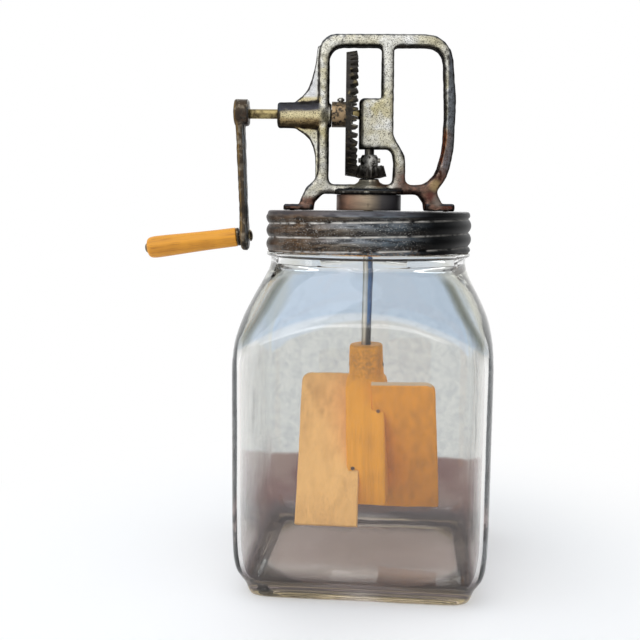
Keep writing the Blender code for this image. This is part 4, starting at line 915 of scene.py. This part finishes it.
def smoothed(rows, steps):
    """A smooth run through rows of numbers, with each stretch in the given steps."""
    ends = [rows[0], *rows, rows[-1]]
    run = []
    for stretch in zip(ends, ends[1:], ends[2:], ends[3:]):
        for step in range(steps):
            t = step / steps
            run.append([
                HALF * (2 * b + (c - a) * t + (2 * a - 5 * b + 4 * c - d) * t ** 2
                        + (3 * b - a - 3 * c + d) * t ** 3)
                for a, b, c, d in zip(*stretch)
            ])
    run.append(list(rows[-1]))
    return run


def threaded(angle, height):
    """How near a point is to the crest of the right-hand thread, from 0 to 1."""
    turns = (height - THREAD_CREST) / THREAD_PITCH - angle / FULL_TURN
    return HALF + HALF * math.cos(FULL_TURN * turns)


def glass_surface(foot_shares, low, half, reach, neck):
    """Rows of height, side and corner for one surface of the glass, from its foot to its neck."""
    rows = []
    for height_share, inset_share in foot_shares:
        side = half - FOOT_INSET * inset_share
        rows.append((low + (FOOT_HEIGHT - low) * height_share, side, side * reach / half))
    rows.append(((FOOT_HEIGHT + SHOULDER_START) * HALF, half, reach))
    for height_share, side_share, corner_share in SHOULDER_SHARES:
        rows.append((
            SHOULDER_START + (NECK_START - SHOULDER_START) * height_share,
            half + (neck - half) * side_share, reach + (neck - reach) * corner_share,
        ))
    return smoothed(rows, ROWS_PER_STRETCH)


def square_radius(angle, half, reach):
    """Distance from the axis of a square with soft corners: half at its sides, reach at its corners."""
    power = -1 / math.log2(reach / (half * math.sqrt(2)))
    spread = abs(math.cos(angle)) ** power + abs(math.sin(angle)) ** power
    return half / spread ** (1 / power)


def arc(centre, radius, start, end, steps):
    """Points of (radius, height) along an arc, with its angles in degrees."""
    leans = [math.radians(start + (end - start) * step / steps) for step in range(steps + 1)]
    return [(centre[0] + radius * math.cos(lean), centre[1] + radius * math.sin(lean)) for lean in leans]


def jar_profile(outer, inner):
    """The half section of the jar, from the middle of its underside round the lip to its inner floor."""
    foot = outer[0][1]
    profile = [(0, PUSH_UP), (foot * HALF, PUSH_UP), (foot - PUSH_UP_EDGE, PUSH_UP)]
    profile += [(foot - PUSH_UP_EDGE * HALF, PUSH_UP * HALF), (foot - FOOT_ROUND, 0)]
    profile += [(side, height) for height, side, _ in outer]
    bead = NECK_START + BEAD_RISE
    bead_half = BEAD_HEIGHT * HALF
    swell = BEAD_RADIUS - NECK_FOOT_RADIUS
    for step in range(BEAD_STEPS):
        lean = math.radians(180 * step / BEAD_STEPS - 90)
        profile.append((NECK_FOOT_RADIUS + swell * math.cos(lean), bead + bead_half * math.sin(lean)))
    low = bead + bead_half + NECK_GAP
    high = JAR_HEIGHT - LIP_ROUND
    profile += [(NECK_RADIUS, low + (high - low) * step / NECK_ROWS) for step in range(NECK_ROWS)]
    lip_inner = NECK_RADIUS - NECK_WALL
    profile += arc((NECK_RADIUS - LIP_ROUND, high), LIP_ROUND, 0, 90, LIP_STEPS)
    profile += arc((lip_inner + LIP_ROUND, high), LIP_ROUND, 90, 180, LIP_STEPS)
    profile += [(side, height) for height, side, _ in reversed(inner)]
    return profile + [(inner[0][1] * share, JAR_FLOOR) for share in FLOOR_SHARES]


def make_jar(colours):
    """Squares a turned jar, adds its thread and ripples, and notes each point's height over the bend."""
    outer = glass_surface(FOOT_SHARES, 0, JAR_HALF, JAR_REACH, NECK_FOOT_RADIUS)
    inner = glass_surface(
        INNER_FOOT_SHARES, JAR_FLOOR, JAR_HALF - JAR_WALL, JAR_REACH - JAR_WALL, NECK_RADIUS - NECK_WALL
    )
    bm = turned(jar_profile(outer, inner), JAR_STEPS)
    tables = [np.array(surface).T for surface in (outer, inner)]
    above = []
    for vert in bm.verts:
        side = vert.co.xy.length
        if side < MERGE:
            above.append(-BEND_MIDDLE)
            continue
        angle = math.atan2(vert.co.y, vert.co.x)
        height = vert.co.z
        limits = [np.interp(height, table[0], table[1]) for table in tables]
        is_outer = height < JAR_FLOOR * HALF or side > (limits[0] + limits[1]) * HALF
        heights, sides, corners = tables[0] if is_outer else tables[1]
        ratio = np.interp(height, heights, corners / sides)
        radius = square_radius(angle, side, side * ratio)
        if is_outer and GLASS_THREAD_LOW < height < GLASS_THREAD_HIGH:
            radius += GLASS_THREAD * threaded(angle, height) ** 2
        if not is_outer and height < NECK_START:
            radius += GLASS_WAVE * noise.noise(vert.co / GLASS_WAVE_LENGTH)
        vert.co.xy = (radius * math.cos(angle), radius * math.sin(angle))
        # The bend, where the painted shoulder reflection and highlight start, drops towards the corners and the
        # back
        aside = min(abs(math.sin(angle)), abs(math.cos(angle))) * radius
        bend = BEND_MIDDLE - BEND_DROP * (aside / JAR_HALF) ** 2
        bend -= BEND_BACK_DROP * max(0, vert.co.y) / JAR_HALF
        above.append(min(height - bend, BEAD_LOW - height) if is_outer else -BEND_MIDDLE)
    finished(bm, "jar", clear_glass(colours), {"above_bend": above})


def lid_profile(middle):
    """The half section of the lid, from its lower edge over the top to its inner lower edge."""
    wall_top = LID_TOP - LID_CORNER
    corner = (middle - LID_CORNER, wall_top)
    ceiling = LID_TOP - LID_SHEET
    outer = [(middle, LID_LOW + (wall_top - LID_LOW) * row / LID_ROWS) for row in range(LID_ROWS)]
    outer += arc(corner, LID_CORNER, 0, 90, LID_OUTER_STEPS)
    outer += [(middle * share, LID_TOP) for share in LID_TOP_SHARES] + [(LID_HOLE, LID_TOP)]
    inner = [(LID_HOLE, ceiling)] + [(middle * share, ceiling) for share in LID_TOP_SHARES[::-1]]
    inner += arc(corner, LID_CORNER - LID_SHEET, 90, 0, LID_INNER_STEPS)
    inner += [
        (middle - LID_SHEET, wall_top + (LID_LOW - wall_top) * row / LID_ROWS)
        for row in range(1, LID_ROWS + 1)
    ]
    return outer + inner


def make_lid():
    """Rolls a thread into a turned cap, dents it and notes how deep each point lies in a groove."""
    middle = LID_RADIUS - LID_WAVE
    bm = turned(lid_profile(middle), LID_STEPS)
    grooves = []
    for vert in bm.verts:
        angle = math.atan2(vert.co.y, vert.co.x)
        height = vert.co.z
        radius = vert.co.xy.length
        from_edge = min(height - LID_LOW, LID_TOP - LID_CORNER - height)
        strength = min(1, max(0, from_edge / THREAD_FADE)) if radius > middle - 2 * LID_SHEET else 0
        crest = threaded(angle, height)
        grooves.append(strength * max(0, 1 - crest / GROOVE_SHARE))
        wave = 2 * crest ** THREAD_FLATNESS_SHARE - 1
        uneven = LID_UNEVEN * noise.noise(vert.co / LID_UNEVEN_LENGTH)
        off_dent = ((angle - DENT_ANGLE) / DENT_WIDTH) ** 2 + ((height - LID_LOW) / DENT_HEIGHT) ** 2
        push = LID_WAVE * wave * strength - DENT_DEPTH * math.exp(-off_dent)
        if radius > middle * LID_SIDE_SHARE:
            push += uneven
        vert.co.xy *= (radius + push) / radius
    put_in_place(bm, HEAD_TURN)
    zinc = tarnished_zinc("tarnished_zinc_sheet", 64 * MM, LID_TONES_AND_SHADE, 1.0)
    finished(bm, "lid", zinc, {"groove": grooves})


def make_collar():
    """A rolled ring with one small vent hole at its front."""
    low, high, radius = node_reach("vent_collar", Matrix())
    hole_height = low + (high - low) * VENT_HOLE_SHARE
    inner = radius - COLLAR_WALL
    heights = (low, hole_height - VENT_HOLE, hole_height + VENT_HOLE, high)
    bm = turned([(inner, low), *((radius, height) for height in heights), (inner, high)])
    soften(bm, RING_ROUND)
    target = Vector((0, -radius, hole_height))
    hole = min(bm.faces, key=lambda face: (face.calc_center_median() - target).length)
    bmesh.ops.inset_individual(bm, faces=[hole], thickness=VENT_INSET)
    sunk = bmesh.ops.extrude_discrete_faces(bm, faces=[hole])["faces"][0]
    bmesh.ops.translate(bm, vec=(0, COLLAR_WALL * VENT_DEPTH_SHARE, 0), verts=sunk.verts)
    put_in_place(bm, HEAD_TURN)
    zinc = tarnished_zinc("tarnished_zinc_ring", radius, COLLAR_TONES_AND_LIGHT, 0.25)
    finished(bm, "vent_collar", zinc)


def make_gasket():
    low, high, radius = node_reach("lid_gasket", Matrix())
    inner = min(vert.co.xy.length for vert in frame["nodes"]["lid_gasket"].data.vertices)
    bm = turned([(inner, low), (radius, low), (radius, high), (inner, high)])
    finished(soften(bm, RING_ROUND), "lid_gasket", pressed_cork())


def make_shaft(node, place, material):
    low, high, radius = node_reach(node, place)
    bm = turned([(0, low), (radius, low), (radius, high), (0, high)], SHAFT_STEPS)
    finished(put_in_place(soften(bm, SHAFT_ROUND), place), node, material)


def make_grip(colours, width):
    """A turned handle with a bulge near its outer end, bored for its spindle."""
    low, high, radius = node_reach("handle_grip", GRIP_PLACE)
    profile = [(GRIP_BORE, low)]
    for along, share in smoothed(GRIP_SHARES, GRIP_STEPS):
        profile.append((radius * share, low + (high - low) * along))
    profile.append((GRIP_BORE, high))
    bm = put_in_place(turned(profile[::-1]), GRIP_PLACE)
    turn = facing(GRIP_AXIS).to_euler()
    wood = old_wood("varnished_beech", colours.grip_wood, "#7A3C0C", width * 1.1, turn, 0.3)
    finished(bm, "handle_grip", wood)


def rivet_head(radius, seat, height):
    """A hammered head, as a quarter circle drawn low, from its seat outwards."""
    leans = [math.radians(90 * step / RIVET_STEPS) for step in range(RIVET_STEPS)]
    head = [(radius * math.cos(lean), seat + height * math.sin(lean)) for lean in leans]
    return head + [(0, seat + height)]


def make_spindle(steel):
    """A rod with a hammered head at each end."""
    low, high, radius = node_reach("handle_spindle", GRIP_PLACE)
    inner_seat = low + SPINDLE_INNER_HEAD
    outer_seat = high - SPINDLE_OUTER_HEAD
    profile = rivet_head(radius, inner_seat, low - inner_seat)[::-1]
    profile += [(SPINDLE_RADIUS, inner_seat), (SPINDLE_RADIUS, outer_seat)]
    profile += rivet_head(SPINDLE_OUTER_RADIUS, outer_seat, high - outer_seat)
    bm = put_in_place(turned(profile, SPINDLE_STEPS), GRIP_PLACE)
    finished(bm, "handle_spindle", steel)


def studio_floor(radius):
    """Pale paper floor that fades to plain white away from the object, and keeps its shadow."""
    paper = new_finish("pale_paper_floor")
    away = paper.add("VectorMath", {0: paper.place}, operation="LENGTH")["Value"]
    fade = paper.share((away, *FLOOR_FADE), paper.any_ray("Camera", "Glossy", "Transmission"))
    pale = paper.add("BsdfPrincipled", {"Base Color": linear("#FAFAF9"), "Roughness": 0.9})
    white = paper.add("Emission", {"Color": WHITE, "Strength": 1.0})
    bm = bmesh.new()
    bmesh.ops.create_circle(bm, cap_ends=True, segments=ROUND_STEPS, radius=radius)
    bmesh.ops.translate(bm, vec=(0, 0, -FLOOR_DROP), verts=bm.verts)
    mesh = as_mesh(bm, "studio_floor")
    mesh.materials.append(paper.closed(paper.add("MixShader", {0: fade, 1: pale[0], 2: white[0]})))
    shown(mesh)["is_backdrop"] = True


def studio_world():
    """A pale room on a plain white background: white behind the object, bright at the upper left front
    and dimmer low on the right, which metal and glass show. Rays that have wandered far inside the glass
    see the dim room too, so that its edges show."""
    sky = Finish(bpy.data.worlds.new("studio"))
    direction = sky.coords["Generated"]
    towards = sky.add("VectorMath", {0: direction, 1: ROOM_LIGHT}, operation="DOT_PRODUCT")["Value"]
    room = sky.share((towards, *ROOM_RUN))
    backdrop = sky.share((sky.add("SeparateXYZ", {"Vector": direction})["Y"], *BACKDROP_RUN))
    shown = sky.add("Mix", {0: backdrop, 2: room, 3: 1.0}, data_type="FLOAT")[0]
    depth = sky.add("LightPath")["Ray Depth"]
    shallow, deep = WANDERED_DEPTHS
    wandered = sky.add("MapRange", {"Value": depth, "From Min": shallow, "From Max": deep})["Result"]
    dim = sky.share(room, DIM_SHARE)
    through = sky.add("Mix", {0: wandered, 2: 1.0, 3: dim}, data_type="FLOAT")[0]
    plain = sky.any_ray("Camera", "Transmission")
    strength = sky.add("Mix", {0: plain, 2: shown, 3: through}, data_type="FLOAT")[0]
    seen = sky.any_ray("Camera", "Transmission", "Glossy")
    white = sky.add("Background", {"Color": WHITE, "Strength": strength})
    ambient = sky.add("Background", {"Color": linear("#F1F4F8"), "Strength": room})
    both = sky.add("MixShader", {0: seen, 1: ambient[0], 2: white[0]})
    bpy.context.scene.world = sky.closed(both, "OutputWorld")


def add_lamp(name, place, target, size, power, colour):
    lamp = bpy.data.lights.new(name, "AREA")
    lamp.shape = "RECTANGLE"
    lamp.size = size[0]
    lamp.size_y = size[1]
    lamp.energy = power
    lamp.color = linear(colour)[:3]
    holder = shown(lamp)
    holder.location = place
    holder.rotation_euler = (Vector(target) - Vector(place)).to_track_quat("-Z", "Y").to_euler()


def add_camera():
    lens = bpy.data.cameras.new("photo_camera")
    lens.lens = CAMERA_LENS
    lens.sensor_width = CAMERA_SENSOR
    camera = shown(lens)
    level = Matrix.Rotation(CAMERA_YAW, 4, "Z") @ Matrix.Rotation(math.pi / 2 - CAMERA_PITCH, 4, "X")
    turn = level @ Matrix.Rotation(CAMERA_ROLL, 4, "Z")
    camera.matrix_world = Matrix.Translation(CAMERA_PLACE) @ turn
    bpy.context.scene.camera = camera


class CHURN_OT_stage(bpy.types.Operator):
    """Adds the floor, the surroundings, the lamps and the camera"""

    bl_idname = "churn.stage"
    bl_label = "Stage"

    def execute(self, context):
        scene = context.scene
        studio_floor(scene.churn_sizes.floor_radius)
        studio_world()
        for lamp in LAMPS:
            add_lamp(*lamp)
        add_camera()
        scene.view_settings.view_transform = "Standard"
        for kind in ("max", "glossy", "transmission"):
            setattr(scene.cycles, kind + "_bounces", GLASS_BOUNCES)
        return {"FINISHED"}


class CHURN_OT_jar(bpy.types.Operator):
    """Makes the square glass jar"""

    bl_idname = "churn.jar"
    bl_label = "Jar"

    def execute(self, context):
        make_jar(context.scene.churn_colours)
        return {"FINISHED"}


class CHURN_OT_lid(bpy.types.Operator):
    """Makes the screw lid, its collar and its seal"""

    bl_idname = "churn.lid"
    bl_label = "Lid, collar and seal"

    def execute(self, context):
        make_lid()
        make_collar()
        make_gasket()
        return {"FINISHED"}


class CHURN_OT_frame(bpy.types.Operator):
    """Makes the cast gear frame and its screws and nuts"""

    bl_idname = "churn.gear_frame"
    bl_label = "Gear frame"

    def execute(self, context):
        sizes = context.scene.churn_sizes
        colours = context.scene.churn_colours
        skin = cast_skin("gear_frame")
        iron = worn_casting(colours, sizes.casting_grain)
        finished(skin, "gear_frame", iron, {"wear": proudness_of(skin)})
        for node in ("foot_screw_left", "foot_nut_left", "foot_screw_right", "foot_nut_right"):
            trimmed(node, sizes.edge_round, oiled_steel(colours))
        return {"FINISHED"}


class CHURN_OT_gears(bpy.types.Operator):
    """Makes the bevel gear pair with its screw and pin"""

    bl_idname = "churn.gears"
    bl_label = "Gears"

    def execute(self, context):
        sizes = context.scene.churn_sizes
        dark = context.scene.churn_colours.dark_iron
        for node, name, gold, wear in (
            ("drive_gear", "greasy_cast_gear", (0.56, 0.7), GEAR_WEAR),
            ("pinion", "greasy_cast_pinion", (0.58, 0.7), PINION_WEAR),
        ):
            iron = oily_iron(name, dark, "#6E6346", "#1B1A19", sizes.casting_grain, gold, wear)
            trimmed(node, sizes.edge_round, iron)
        bare = oily_steel("rubbed_steel", "#C1BEB6", "#7A7264", 0.3)
        for node in ("gear_set_screw", "pinion_pin"):
            trimmed(node, sizes.edge_round, bare)
        return {"FINISHED"}


class CHURN_OT_crank(bpy.types.Operator):
    """Makes the crankshaft, the arm and the grip on its spindle"""

    bl_idname = "churn.crank"
    bl_label = "Crank and grip"

    def execute(self, context):
        sizes = context.scene.churn_sizes
        colours = context.scene.churn_colours
        grain = sizes.casting_grain
        gold = (0.5, 0.66)
        iron = oily_iron("oily_forged_iron", CRANK_LIGHT_AND_SHADE_TONES, "#857B6B", "#2B2825", grain, gold, CRANK_PATCHES)
        brown = oily_steel("browned_crank_steel", "#9A8B60", "#473C28", 0.3)
        make_shaft("crankshaft", CRANK_PLACE, brown)
        finished(cast_skin("crank_arm"), "crank_arm", iron)
        make_spindle(oiled_steel(colours))
        trimmed("grip_washer", sizes.edge_round, iron)
        make_grip(colours, sizes.grain_width)
        return {"FINISHED"}


class CHURN_OT_dasher(bpy.types.Operator):
    """Makes the dasher: its shaft, block, two boards, nails and pin"""

    bl_idname = "churn.dasher"
    bl_label = "Dasher"

    def execute(self, context):
        edge = context.scene.churn_sizes.edge_round
        width = context.scene.churn_sizes.grain_width
        colours = context.scene.churn_colours
        make_shaft("dasher_shaft", Matrix(), painted_sheen_steel())
        block = old_wood("oiled_maple_block", colours.hub_wood, "#BE7A14", width, stains_and_shadow=BLOCK_STAINS)
        pale = old_wood("pale_maple_board", colours.pale_board, "#C98C48", width, ends=0.7)
        warm = old_wood(
            "warm_maple_board", colours.warm_board, "#C27D1C", width, stains_and_shadow=BOARD_STAINS_AND_SHADOW, ends=0.7
        )
        finished(cast_skin("dasher_hub"), "dasher_hub", block)
        trimmed("paddle_left", edge, pale)
        trimmed("paddle_right", edge, warm)
        rusty = oily_steel("rusty_nail_steel", "#8F5E26", "#4A2E14", 0.7, 0.2)
        for number in range(1, 5):
            node = f"paddle_nail_{number}"
            finished(narrowed(recut(node, edge), NAIL_SHARE), node, rusty)
        trimmed("neck_pin", edge, oiled_steel(colours))
        return {"FINISHED"}


class CHURN_PT_panel(bpy.types.Panel):
    """Lists the sizes, the colours and the steps"""

    bl_idname = "CHURN_PT_panel"
    bl_label = "Butter churn"
    bl_space_type = "VIEW_3D"
    bl_region_type = "UI"
    bl_category = "Churn"

    def draw(self, context):
        for group in (context.scene.churn_sizes, context.scene.churn_colours):
            for name in group.__annotations__:
                self.layout.prop(group, name)
        for operator in OPERATORS:
            self.layout.operator(operator.bl_idname)


OPERATORS = (
    CHURN_OT_stage, CHURN_OT_jar, CHURN_OT_lid, CHURN_OT_frame, CHURN_OT_gears, CHURN_OT_crank,
    CHURN_OT_dasher,
)
CLASSES = (ChurnSizes, ChurnColours, *OPERATORS, CHURN_PT_panel)


def register():
    for entry in CLASSES:
        bpy.utils.register_class(entry)
    bpy.types.Scene.churn_sizes = PointerProperty(type=ChurnSizes)
    bpy.types.Scene.churn_colours = PointerProperty(type=ChurnColours)


def unregister():
    del bpy.types.Scene.churn_colours
    del bpy.types.Scene.churn_sizes
    for entry in reversed(CLASSES):
        bpy.utils.unregister_class(entry)


def main():
    register()
    bpy.ops.churn.stage()
    bpy.ops.churn.jar()
    bpy.ops.churn.lid()
    bpy.ops.churn.gear_frame()
    bpy.ops.churn.gears()
    bpy.ops.churn.crank()
    bpy.ops.churn.dasher()
    boxes = {"cad": CAD_BOX, "visual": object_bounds()}
    {name: [list(corner) for corner in box] for name, box in boxes.items()}


if __name__ == "__main__":
    main()
